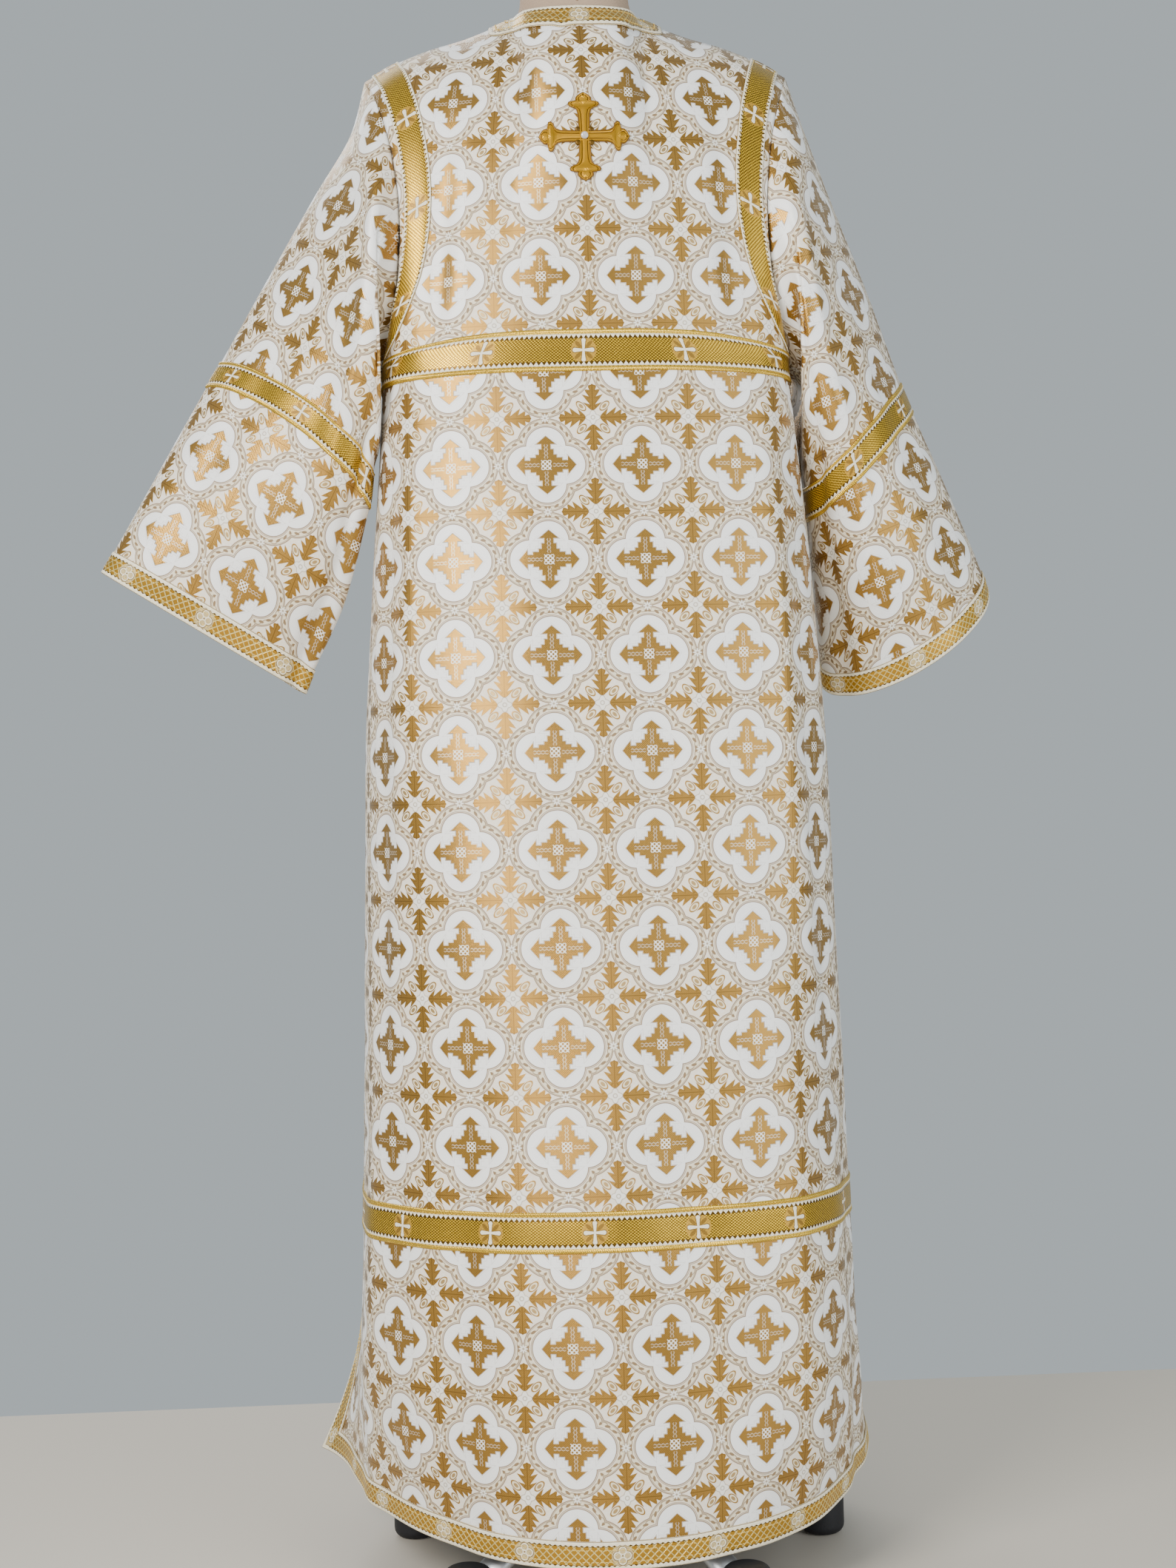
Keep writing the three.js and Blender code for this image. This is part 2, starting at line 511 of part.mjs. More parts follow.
function sleeveGrid(left) {
  const table = left ? LEFT_SLEEVE : RIGHT_SLEEVE;
  const ring = armholeRing(left);
  const count = ring.length;
  const halfCount = (count / 2);
  const mirror = left ? 1 : -1;
  const starts = ring.map(({ base }) => [base[0] * mirror, base[1], base[2]]);
  const halfLength = (from, to) => {
    const part = [];
    for (let k = from; k <= to; k += 1) part.push(starts[k % count]);
    return lengthOf(part);
  };
  const angles = starts.map((_, k) => {
    if (k <= halfCount) return (Math.PI * halfLength(0, k)) / halfLength(0, halfCount);
    return Math.PI + (Math.PI * halfLength(halfCount, k)) / halfLength(halfCount, count);
  });
  const ringPoint = (t, angle) => {
    const top = lookPoint(table, 'top', t);
    const bottom = lookPoint(table, 'bottom', t);
    const side = lookPoint(table, Math.sin(angle) >= 0 ? 'back' : 'front', t);
    const centre = mixPoint(top, bottom, 0.5);
    const tall = scale(add(top, bottom, -1), 0.5);
    return add(add(centre, tall, Math.cos(angle)), add(side, centre, -1), Math.abs(Math.sin(angle)));
  };
  const offsets = starts.map((start, k) => add(start, ringPoint(0, angles[k]), -1));
  const surface = (t, k) => {
    const fade = 1 - smooth(clamp(t / ARMHOLE_FADE, 0, 1));
    return add(ringPoint(t, angles[k % count]), offsets[k % count], fade);
  };
  return SLEEVE_STATIONS.map((t) => starts.map((_, k) => {
    const step = 0.01;
    const down = add(surface(Math.min(t + step, 1), k), surface(Math.max(t - step, 0), k), -1);
    const round = add(surface(t, k + 1), surface(t, k + count - 1), -1);
    let normal = unit(cross(down, round));
    let point = surface(t, k);
    if (t === 0) {
      normal = tipNormal(normal, 1, ring[k].height);
      const leaving = unit(add(surface(0.03, k), point, -1));
      point = add(point, unit(add(leaving, normal, -dot(leaving, normal))), SEAM_GAP);
    }
    return {
      point: [point[0] * mirror, point[1], point[2]],
      normal: [normal[0] * mirror, normal[1], normal[2]],
    };
  }));
}

const leftSleeve = sleeveGrid(true);
const rightSleeve = sleeveGrid(false);
const stationRow = (t) => SLEEVE_STATIONS.indexOf(t);
const sleeveBand = (grid) => grid.slice(stationRow(SLEEVE_BAND[0]), stationRow(SLEEVE_BAND[1]) + 1);
const sleeveCuff = (grid) => grid.slice(stationRow(CUFF_BAND));

// --- appliqued cross ------------------------------------------------------------------------------------------------
// Four equal arms that end in three points, laid on the back panel's own surface.
function crossOutline() {
  const { reach, arm, flare } = CROSS;
  const side = [
    [arm, reach * 0.27], [arm, reach * 0.5], [arm * 1.4, reach * 0.61], [flare, reach * 0.68],
    [flare, reach * 0.8], [arm * 1.5, reach * 0.84],
  ];
  const outline = [];
  for (let turn = 0; turn < 4; turn += 1) {
    const angle = (-turn * Math.PI) / 2;
    const left = side.map(([x, y]) => [-x, y]);
    const arms = [...left, [0, reach], ...[...side].reverse(), [arm * 1.5, arm * 1.5]];
    for (const [x, y] of arms) {
      outline.push([x * Math.cos(angle) - y * Math.sin(angle), x * Math.sin(angle) + y * Math.cos(angle)]);
    }
  }
  return outline;
}

// The height on the centre back is matched by bisection, the way across by the section's length.
function onBack(x, height) {
  let low = 1;
  let high = 2;
  for (let i = 0; i < 24; i += 1) {
    const middle = (low + high) / 2;
    if (bodyPoint('back', 0, middle)[2] < height) low = middle;
    else high = middle;
  }
  const length = lengthOf(storedSection('back', 'left', low));
  const across = x / length;
  return { point: bodyPoint('back', across, low), normal: bodyNormal('back', across, low) };
}

function backCross() {
  const outline = crossOutline();
  const count = outline.length;
  const place = ([x, y], above) => {
    const node = onBack(x, CROSS.height + y);
    return add(node.point, node.normal, above);
  };
  const points = [CROSS.lift, CROSS.lift + CROSS.thickness].flatMap((level) => outline.map((p) => place(p, level)));
  const faces = [];
  const flat = outline.map(([x, y]) => new THREE.Vector2(x, y));
  for (const [a, b, c] of THREE.ShapeUtils.triangulateShape(flat, [])) {
    faces.push([a, b, c], [count + a, count + c, count + b]);
  }
  for (let i = 0; i < count; i += 1) {
    const next = (i + 1) % count;
    faces.push([i, count + next, count + i], [i, next, count + next]);
  }
  return solid('back_cross', points, faces, embroidery);
}

// --- dress form -----------------------------------------------------------------------------------------------------
// The form fills the shoulders of the garment from inside and falls away from it lower down.
function formNode(face, across, t) {
  const up = 1 + t;
  const ease = FORM_EASE * (1 - smooth(clamp(t / 0.9, 0, 1)));
  const point = bodyPoint(face, across, up);
  const onRidge = t === 1 && Math.abs(across) >= neckShare[face] - 1e-6;
  const normal = onRidge ? unit([Math.sign(across) * 0.4, 0, 0.92]) : bodyNormal(face, across, up);
  return add(point, normal, -(CLOTH + FORM_GAP + ease));
}

// The form has the panels' own columns, up to the one at its shoulder end.
const formShares = (face, up) => columnShares(face, 'left', up).slice(0, NECK_COLUMNS + SHOULDER_COLUMNS);

function formLoop(t) {
  const backShares = formShares('back', 1 + t);
  const frontShares = formShares('front', 1 + t);
  const rightToLeft = (shares) => [...shares.slice(1).reverse().map((s) => -s), ...shares];
  const back = rightToLeft(backShares).map((share) => formNode('back', share, t));
  const front = rightToLeft(frontShares).map((share) => formNode('front', share, t)).reverse();
  const side = (from, to, outwards) => {
    const points = [];
    for (let i = 1; i < FORM_SIDE_STEPS; i += 1) {
      const share = i / FORM_SIDE_STEPS;
      const bulge = 7 * Math.sin(Math.PI * share) * (1 - t);
      points.push(add(mixPoint(from, to, share), [outwards * bulge, 0, 0]));
    }
    return points;
  };
  const left = side(back[back.length - 1], front[0], 1);
  const right = side(front[front.length - 1], back[0], -1);
  return [...back, ...left, ...front, ...right];
}

function dressForm() {
  const levels = [...UPPER_ROWS].reverse();
  const loops = levels.map(formLoop);
  const start = loops[loops.length - 1];
  const chest = { width: Math.max(...start.map((p) => p[0])), depth: Math.max(...start.map((p) => p[1])) };
  for (const row of FORM_LOWER) {
    loops.push(start.map((p) => {
      const angle = Math.atan2(p[1] / chest.depth, p[0] / chest.width);
      return [row.width * Math.cos(angle), row.centre + row.depth * Math.sin(angle), row.height];
    }));
  }
  const points = [];
  const keys = new Map();
  const weld = (p) => {
    const key = p.map((value) => Math.round(value * 50)).join(' ');
    if (!keys.has(key)) {
      keys.set(key, points.length);
      points.push(p);
    }
    return keys.get(key);
  };
  const faces = [];
  const face = (a, b, c) => {
    if (a !== b && b !== c && c !== a) faces.push([a, b, c]);
  };
  const rings = loops.map((loop) => loop.map(weld));
  const backCount = 2 * (NECK_COLUMNS + SHOULDER_COLUMNS) - 1;
  const bridge = (upper, lower) => upper.forEach((_, k) => {
    const next = (k + 1) % upper.length;
    const isBack = k < backCount;
    face(upper[k], lower[k], isBack ? upper[next] : lower[next]);
    face(isBack ? lower[k] : upper[k], lower[next], upper[next]);
  });
  for (let i = 0; i < rings.length - 1; i += 1) bridge(rings[i], rings[i + 1]);
  const lowest = rings[rings.length - 1];
  const bottomHub = weld([0, FORM_LOWER[FORM_LOWER.length - 1].centre, FORM_LOWER[FORM_LOWER.length - 1].height]);
  lowest.forEach((k, i) => face(k, bottomHub, lowest[(i + 1) % lowest.length]));
  const backStart = SHOULDER_COLUMNS - 1;
  const frontStart = backCount + (FORM_SIDE_STEPS - 1) + backStart;
  const arc = (from) => rings[0].slice(from, from + 2 * NECK_COLUMNS + 1);
  const base = [...arc(backStart), ...arc(frontStart).slice(1, -1)];
  let previous = base;
  for (const ring of NECK_RINGS) {
    const current = base.map((index) => {
      const p = points[index];
      const angle = Math.atan2(p[1] / 58, p[0] / 60);
      return weld([ring.width * Math.cos(angle), ring.centre + ring.depth * Math.sin(angle), ring.height]);
    });
    bridge(current, previous);
    previous = current;
  }
  const top = NECK_RINGS[NECK_RINGS.length - 1];
  const topHub = weld([0, top.centre, top.height]);
  previous.forEach((k, i) => face(topHub, k, previous[(i + 1) % previous.length]));
  return solid('dress_form', points, faces, linen);
}

// --- turned parts: profile is a list of [radius, height] from the bottom of the axis to its top ------------------------
function turned(name, profile, segments, x, y, material) {
  const points = profile.map(([radius, height]) => new THREE.Vector2(radius, height));
  const geometry = new THREE.LatheGeometry(points, segments);
  geometry.rotateX(Math.PI / 2);
  const mesh = new THREE.Mesh(geometry, material);
  mesh.name = name;
  mesh.position.set(x, y, 0);
  return mesh;
}

function neckCap() {
  const top = NECK_RINGS[NECK_RINGS.length - 1];
  const low = top.height + SEAM_GAP;
  const { radius, height, edge } = NECK_CAP;
  const profile = [
    [0, low], [radius - edge, low], [radius, low + edge], [radius, low + height - edge],
    [radius - edge, low + height], [0, low + height],
  ];
  return turned('neck_cap', profile, 24, 0, top.centre, steel);
}

function stand() {
  const parts = [];
  const formBottom = FORM_LOWER[FORM_LOWER.length - 1].height;
  const poleLow = HUB.collarTop + SEAM_GAP;
  const poleTop = formBottom - SEAM_GAP;
  const tube = [[0, poleLow], [POLE_RADIUS, poleLow], [POLE_RADIUS, poleTop], [0, poleTop]];
  parts.push(turned('pole', tube, 24, 0, POLE_AXIS_DEPTH, steel));
  const { radius, bottom, top, collar, collarTop } = HUB;
  const hub = [
    [0, bottom], [radius - 4, bottom], [radius, bottom + 4], [radius, top - 4], [radius - 4, top],
    [collar, top + 3], [collar, collarTop], [0, collarTop],
  ];
  parts.push(turned('base_hub', hub, 24, 0, POLE_AXIS_DEPTH, steel));
  for (let i = 0; i < LEG.count; i += 1) {
    const angle = THREE.MathUtils.degToRad(LEG.firstAngle + (360 / LEG.count) * i);
    parts.push(leg(`leg_${i + 1}`, angle), foot(`foot_${i + 1}`, angle));
  }
  return parts;
}

// A leg is an oval tube that slopes from the hub down to its foot, with upright end faces.
function leg(name, angle) {
  const { width, depth, start, end, sides } = LEG;
  const ends = [
    { reach: HUB.radius + SEAM_GAP, height: start },
    { reach: FOOT.reach - FOOT.radius - SEAM_GAP, height: end },
  ];
  const points = [];
  for (const { reach, height } of ends) {
    for (let i = 0; i < sides; i += 1) {
      const turn = (2 * Math.PI * i) / sides;
      const aside = (width / 2) * Math.cos(turn);
      points.push([
        reach * Math.cos(angle) - aside * Math.sin(angle),
        POLE_AXIS_DEPTH + reach * Math.sin(angle) + aside * Math.cos(angle),
        height + (depth / 2) * Math.sin(turn),
      ]);
    }
  }
  const faces = [];
  for (let i = 0; i < sides; i += 1) {
    const next = (i + 1) % sides;
    faces.push([i, next, sides + next], [i, sides + next, sides + i]);
    if (i > 0 && next > 0) faces.push([0, next, i], [sides, sides + i, sides + next]);
  }
  return solid(name, points, faces, steel);
}

function foot(name, angle) {
  const { radius, height, round, reach } = FOOT;
  const bow = [0, 0.5, 1].map((k) => (k * Math.PI) / 2);
  const lower = bow.map((a) => [radius - round + round * Math.sin(a), round - round * Math.cos(a)]);
  const upper = bow.map((a) => [radius - round + round * Math.cos(a), height - round + round * Math.sin(a)]);
  const profile = [[0, 0], ...lower, ...upper, [0, height]];
  return turned(name, profile, 16, reach * Math.cos(angle), POLE_AXIS_DEPTH + reach * Math.sin(angle), rubber);
}

// --- the whole -----------------------------------------------------------------------------------------------------------
const object = new THREE.Group();
object.add(
  wall('back', backGrid, CLOTH, brocade),
  wall('front', slitGrid, CLOTH, brocade, { isOpen: inSlit }),
  wall('sleeve_left', leftSleeve, CLOTH, brocade, { ring: true }),
  wall('sleeve_right', rightSleeve, CLOTH, brocade, { ring: true }),
  neckTrim(),
  armholeTrim('armhole_galloon_left', true),
  armholeTrim('armhole_galloon_right', false),
  bandTrim('yoke_galloon_back', backGrid, yokeRows, 1),
  bandTrim('yoke_galloon_front', frontGrid, yokeRows, 1),
  trim('sleeve_galloon_left', sleeveBand(leftSleeve), { ring: true }),
  trim('sleeve_galloon_right', sleeveBand(rightSleeve), { ring: true }),
  trim('cuff_galloon_left', sleeveCuff(leftSleeve), { ring: true }),
  trim('cuff_galloon_right', sleeveCuff(rightSleeve), { ring: true }),
  bandTrim('skirt_galloon_back', backGrid, skirtRows, 2),
  bandTrim('skirt_galloon_front', frontGrid, skirtRows, 2),
  hemTrim('hem_galloon_back', backGrid),
  hemTrim('hem_galloon_front', frontGrid),
  backCross(),
  dressForm(),
  neckCap(),
  ...stand(),
);
object.position.set(...CENTRE_SHIFT, 0);

export default object;
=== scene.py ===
"""Looks for a deacon's sticharion: brocade, galloons, embroidery, dress form and stand."""
import math

import bmesh
import bpy
import numpy as np
from mathutils import Matrix


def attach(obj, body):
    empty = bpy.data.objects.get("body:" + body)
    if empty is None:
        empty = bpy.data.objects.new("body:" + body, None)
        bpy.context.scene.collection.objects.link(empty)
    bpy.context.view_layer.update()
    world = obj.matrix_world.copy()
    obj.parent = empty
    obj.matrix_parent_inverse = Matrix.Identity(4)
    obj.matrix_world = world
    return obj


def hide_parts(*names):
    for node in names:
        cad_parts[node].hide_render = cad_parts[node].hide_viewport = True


bl_info = {
    "name": "Sticharion",
    "version": (1, 0, 0),
    "blender": (4, 2, 0),
    "location": "View3D > Sidebar > Sticharion",
    "description": "A brocade sticharion on a dress form",
    "category": "Object",
}

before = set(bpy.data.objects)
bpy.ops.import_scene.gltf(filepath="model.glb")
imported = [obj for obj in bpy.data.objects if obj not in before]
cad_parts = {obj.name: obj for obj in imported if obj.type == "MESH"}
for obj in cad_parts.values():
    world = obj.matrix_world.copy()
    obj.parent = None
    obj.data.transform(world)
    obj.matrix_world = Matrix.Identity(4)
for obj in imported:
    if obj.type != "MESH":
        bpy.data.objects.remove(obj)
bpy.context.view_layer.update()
MM = 0.001
SHIFT = np.array([-37.0, 13.0, 0.0])  # the frame's origin under the middle of the outline

# --- sizes shared with the solids, in millimetres ------------------------------------------
HEM_HEIGHT, UNDERARM_HEIGHT = 57, 1196
VENT_TOP, VENT_TRIM_TOP, VENT_SPREAD = 480, 460, 30
NARROW_TRIM, WIDE_TRIM = 27, 40
SKIRT_BAND = (347, 385)
YOKE_BAND = (1176, 0.07)  # bottom height, top as a fraction of the way to the shoulder
NECK_SLIT = 150
UPPER_CROWN, UPPER_SQUARE, SHOULDER_BLEND = 30, 4.2, 2.4
HEM_FLARE = {"left": 28, "right": 0, "top": 235, "reach": 0.3}  # the back's vent edge turns out at the left
SECTION_KEYS = ("height", "left", "right", "seam", "back", "front", "crown", "square", "rise")
SECTIONS = np.array([
    (57, 272, 271, -100, 219, -252, 50, 2.3, 33),
    (110, 263, 263, -92, 219, -246, 62, 2.8, 26),
    (165, 256, 256, -84, 218, -238, 76, 3.8, 18),
    (225, 251, 249, -78, 218, -230, 84, 5.0, 10),
    (300, 247, 246, -70, 216, -220, 76, 5.0, 3),
    (385, 244, 244, -64, 209, -210, 62, 4.6, 0),
    (520, 240, 240, -56, 196, -196, 42, 4.2, 0),
    (680, 235, 236, -48, 181, -180, 22, 3.9, 0),
    (840, 229, 231, -38, 167, -166, 10, 3.8, 0),
    (1000, 218, 221, -24, 151, -152, 8, 3.7, 0),
    (1110, 208, 211, -8, 137, -134, 12, 3.8, 0),
    (1196, 202, 202, 5, 127, -120, 16, 4.2, -4),
], float)
ARMHOLE_KEYS = ("at", "side", "back", "front", "height")
ARMHOLE = np.array([
    (0.0, 202, 5, 5, 1192),
    (0.07, 200, 30, -20, 1200),
    (0.17, 194, 55, -44, 1222),
    (0.35, 184, 76, -66, 1279),
    (0.55, 181, 79, -69, 1348),
    (0.75, 189, 63, -57, 1415),
    (0.9, 203, 36, -36, 1467),
    (1.0, 214, -5, -5, 1496),
], float)
CENTRE_KEYS = ("at", "back", "back_height", "front", "front_height")
CENTRES = np.array([
    (0.0, 127, 1196, -120, 1196),
    (0.07, 127, 1217, -121, 1217),
    (0.2, 127, 1263, -122, 1258),
    (0.4, 124, 1337, -119, 1319),
    (0.6, 117, 1411, -110, 1378),
    (0.78, 104, 1475, -94, 1431),
    (0.9, 84, 1519, -78, 1463),
    (1.0, 56, 1551, -62, 1484),
], float)
NECK_POINT = (62, 2, 1556)
NECKLINES = {
    "back": [(0, 56, 1551), (30, 52, 1551), (51, 36, 1553), NECK_POINT],
    "front": [(0, -62, 1484), (28, -59, 1489), (50, -42, 1511), (60, -18, 1540), NECK_POINT],
}
SHOULDER = [NECK_POINT, (111, 0, 1537), (150, -2, 1526), (186, -4, 1512), (214, -5, 1496)]
SLEEVE_AT = [0.0, 0.1, 0.22, 0.4, 0.567, 0.625, 0.8, 0.955, 1.0]
SLEEVES = {
    "left": {
        "top": [(214, -5, 1496), (230, -5, 1442), (266, -6, 1384), (317, -8, 1299), (366, -9, 1216),
                (382, -9, 1190), (434, -12, 1103), (479, -14, 1027), (492, -15, 1006)],
        "back": [(179, 78, 1322), (198, 104, 1304), (206, 108, 1252), (224, 94, 1192), (256, 76, 1148),
                 (272, 70, 1124), (330, 50, 1038), (378, 26, 966), (391, 16, 942)],
        "bottom": [(202, 5, 1192), (223, 7, 1176), (226, 12, 1152), (223, 24, 1122), (226, 30, 1092),
                   (229, 30, 1056), (248, 16, 974), (281, -8, 903), (291, -14, 879)],
        "front": [(179, -68, 1322), (200, -84, 1304), (212, -84, 1256), (236, -74, 1196), (268, -66, 1146),
                  (282, -62, 1120), (334, -58, 1036), (379, -55, 964), (391, -54, 942)],
    },
    "right": {
        "top": [(214, -5, 1496), (233, -7, 1440), (258, -10, 1372), (293, -16, 1282), (328, -24, 1186),
                (341, -27, 1155), (378, -36, 1072), (412, -46, 992), (419, -48, 969)],
        "back": [(179, 78, 1322), (202, 94, 1300), (214, 94, 1244), (234, 80, 1174), (258, 62, 1108),
                 (268, 54, 1076), (304, 34, 976), (326, 10, 908), (332, 2, 884)],
        "bottom": [(202, 5, 1192), (223, 2, 1176), (226, -8, 1150), (224, -22, 1116), (226, -38, 1082),
                   (229, -44, 1048), (237, -56, 966), (243, -64, 900), (245, -66, 878)],
        "front": [(179, -68, 1322), (200, -88, 1304), (210, -92, 1250), (230, -96, 1176), (256, -102, 1104),
                  (266, -104, 1076), (302, -108, 988), (328, -112, 928), (334, -114, 906)],
    },
}
SLEEVE_GRAIN = {"left": (331, 0, -500), "right": (205, 0, -527)}  # the way the pattern runs down each sleeve
UNDERARM_EASE = 1.2
ARMHOLE_FADE = 0.3
SLEEVE_BAND = (0.567, 0.625)
CUFF_BAND = 0.955
NECK_BAND = {"shoulder": 0.105, "back": 0.085, "front": 0.115, "bend": 4}
SEAM_ALLOWANCE = 9
CROSS_HEIGHT, CROSS_REACH = 1404, 44
STAND_AXIS = (0, 8)
HUB = {"radius": 38, "bottom": 62, "top": 122, "collar": 24, "collar_top": 168}
LEG = {"count": 5, "width": 28, "depth": 22, "first": 48, "start": 94, "end": 35}
FOOT = {"radius": 23, "height": 50, "round": 9, "reach": 222}
POLE = {"radius": 16, "low": 168.3, "high": 785.7}
NECK_CAP = {"radius": 55, "height": 8, "edge": 2.5, "bottom": 1612.3, "depth": -4}

# --- creases: (face, x at its top, x at its foot, top height, foot height, width, depth) -----
# Negative is a trough. x is measured along the cloth from the middle.
CREASES = [
    ("back", -168, -196, 1180, 700, 20, 3.2), ("back", -196, -236, 1120, 560, 17, -3.4),
    ("back", 176, 204, 1176, 760, 18, 3.0), ("back", 206, 240, 1140, 560, 16, -3.0),
    ("back", -40, -64, 1170, 420, 34, -2.4), ("back", 62, 96, 1160, 300, 38, 2.8),
    ("back", 128, 176, 620, 70, 30, -4.2), ("back", -150, -214, 640, 60, 32, 4.0),
    ("back", 236, 312, 560, 60, 26, 5.0), ("back", -262, -318, 520, 60, 24, -4.6),
    ("back", 14, 34, 560, 60, 44, 2.6), ("back", -70, -104, 500, 60, 38, -3.2),
    ("back", -64, -52, 1548, 1490, 9, -2.6), ("back", 15, 18, 1552, 1505, 7, -2.2),
    ("back", 142, 150, 1470, 1240, 16, -3.2), ("back", -142, -150, 1470, 1240, 16, -3.2),
    ("back", 120, 126, 1440, 1260, 14, 1.8), ("back", -118, -126, 1440, 1260, 14, 1.8),
    ("front", -150, -178, 1170, 660, 22, 3.4), ("front", 156, 190, 1160, 640, 22, 3.0),
    ("front", -86, -120, 1140, 200, 36, -4.4), ("front", 78, 118, 1120, 180, 34, -4.0),
    ("front", -24, -40, 1100, 60, 40, 3.2), ("front", 34, 52, 900, 60, 36, 2.6),
    ("front", -196, -238, 700, 60, 26, 4.2), ("front", 200, 236, 660, 60, 26, -3.8),
    ("front", 142, 150, 1440, 1240, 16, -3.0), ("front", -142, -150, 1440, 1240, 16, -3.0),
    ("front", 60, 90, 1470, 1330, 16, 2.0), ("front", -60, -90, 1470, 1330, 16, 2.0),
]
# Sleeve creases: (side, turn at its top, turn at its foot, from, to, width in turns, depth).
# A turn of 0 is the shoulder line, 0.25 the middle of the back, 0.5 the underarm.
SLEEVE_CREASES = [
    ("left", 0.25, 0.36, 0.06, 0.62, 0.022, -7.0), ("left", 0.19, 0.30, 0.08, 0.70, 0.026, 5.0),
    ("left", 0.34, 0.43, 0.30, 1.0, 0.024, -5.0), ("left", 0.10, 0.14, 0.10, 0.80, 0.030, -3.0),
    ("left", 0.44, 0.47, 0.20, 0.90, 0.020, 4.0), ("left", 0.70, 0.64, 0.08, 0.80, 0.026, -5.0),
    ("left", 0.80, 0.76, 0.12, 0.90, 0.030, 4.0), ("left", 0.60, 0.57, 0.30, 1.0, 0.022, -4.0),
    ("right", 0.26, 0.34, 0.05, 0.55, 0.022, -5.0), ("right", 0.19, 0.27, 0.08, 0.75, 0.028, 4.0),
    ("right", 0.34, 0.40, 0.28, 1.0, 0.024, -4.0), ("right", 0.09, 0.12, 0.20, 0.90, 0.030, -2.4),
    ("right", 0.71, 0.66, 0.06, 0.80, 0.024, -5.0), ("right", 0.80, 0.77, 0.20, 1.0, 0.028, 3.6),
]

# --- colours, as sRGB hex ----------------------------------------------------------------------
COLOURS = {
    # brocade
    "white": "F4F4F2", "cream": "EBDCC6", "cream_light": "F0E9DA", "outline": "765830", "gold": "AE853C",
    "deep": "6E4E20", "sprig": "F1EEE8", "ring_ground": "E3D7BC", "bud": "E6D9B8", "pale": "F0ECE2",
    "rosette_line": "8F7A58", "vein": "6A4C1C",
    # galloons
    "wide_lit": "ECC23C", "wide_dark": "5A3E0C", "narrow_lit": "B88A2C", "narrow_dark": "EBD88E",
    "edge_cream": "F2E8CC", "valley": "4E340C", "wide_field": "C79A34", "rays": "7A5A1E",
    "narrow_field": "DCC99A", "motif": "F2EAD2", "motif_line": "5A4018", "cord_dark": "B98D1C",
    "cord_lit": "F0CC50", "thread": "E4C66A",
    # cross
    # the cross's groove colour is painted shade for the recesses in its thread
    "cross_dark": "A0720F", "cross_lit": "E4AE22", "groove_shade": "4A3208", "cross_cord": "7A5618", "stone": "F4F6F8",
    # form, stand and room
    "linen": "B19A84", "linen_dark": "8E7863", "steel": "B9BCC0", "rubber": "16161A", "floor": "BDB6AA",
    "wall": "BFC8CC",
}


# --- small maths -------------------------------------------------------------------------------
def linear(hex_colour):
    """An sRGB hex colour as linear RGBA."""
    values = [int(hex_colour[i:i + 2], 16) / 255 for i in (0, 2, 4)]
    return [v / 12.92 if v <= 0.04045 else ((v + 0.055) / 1.055) ** 2.4 for v in values] + [1.0]


def tone(name):
    """A named colour as linear RGBA."""
    return linear(COLOURS[name])


def smooth(k):
    """Eases a share from 0 to 1."""
    k = np.clip(k, 0.0, 1.0)
    return k * k * (3 - 2 * k)


def unit(a):
    return a / np.maximum(np.linalg.norm(a, axis=-1, keepdims=True), 1e-9)


def cubic(xs, ys, at):
    """The cubic through the knots that the solids use."""
    xs, ys, at = np.asarray(xs, float), np.asarray(ys, float), np.asarray(at, float)
    order = np.arange(len(xs))
    low, high = np.maximum(order - 1, 0), np.minimum(order + 1, len(xs) - 1)
    slope = (ys[high] - ys[low]) / (xs[high] - xs[low])
    i = np.clip(np.searchsorted(xs, at) - 1, 0, len(xs) - 2)
    span = xs[i + 1] - xs[i]
    t = (at - xs[i]) / span
    rise = ys[i] + (ys[i + 1] - ys[i]) * t * t * (3 - 2 * t)
    return rise + t * (1 - t) ** 2 * span * slope[i] + t * t * (t - 1) * span * slope[i + 1]


def look(table, keys, key, at):
    """One column of a table, read along its first."""
    return cubic(table[:, 0], table[:, keys.index(key)], at)


def lengths(line):
    """The distance run at each point of a line."""
    return np.concatenate([[0.0], np.cumsum(np.linalg.norm(np.diff(line, axis=0), axis=1))])


def resample(line, shares):
    """Points at shares of a line's length."""
    run = lengths(line)
    wanted = np.asarray(shares) * run[-1]
    return np.stack([np.interp(wanted, run, line[:, k]) for k in range(3)], axis=-1)


def curve(points, count=120):
    """A centripetal curve through a few points, evenly spaced."""
    p = np.array(points, float)
    p = np.vstack([2 * p[0] - p[1], p, 2 * p[-1] - p[-2]])
    s = np.linspace(0, 1, 30, endpoint=False)[:, None]
    parts = []
    for i in range(1, len(p) - 2):
        d = [np.linalg.norm(p[i + k] - p[i + k - 1]) ** 0.5 for k in range(3)]
        leave = ((p[i] - p[i - 1]) / d[0] - (p[i + 1] - p[i - 1]) / (d[0] + d[1]) + (p[i + 1] - p[i]) / d[1]) * d[1]
        reach = ((p[i + 1] - p[i]) / d[1] - (p[i + 2] - p[i]) / (d[1] + d[2]) + (p[i + 2] - p[i + 1]) / d[2]) * d[1]
        gap = p[i + 1] - p[i]
        parts.append(p[i] + leave * s + (3 * gap - 2 * leave - reach) * s ** 2 + (leave + reach - 2 * gap) * s ** 3)
    parts.append(p[-2][None])
    return resample(np.vstack(parts), np.linspace(0, 1, count))


# --- body surface: u runs from -1 at the right seam to 1 at the left, v 0 to 2 from hem to top --
shoulder_line = curve(SHOULDER)
TOP_EDGE, NECK_SHARE = {}, {}
for _face, _neckline in NECKLINES.items():
    _neck = curve(_neckline)
    TOP_EDGE[_face] = np.vstack([_neck, shoulder_line[1:]])
    NECK_SHARE[_face] = lengths(_neck)[-1] / lengths(TOP_EDGE[_face])[-1]


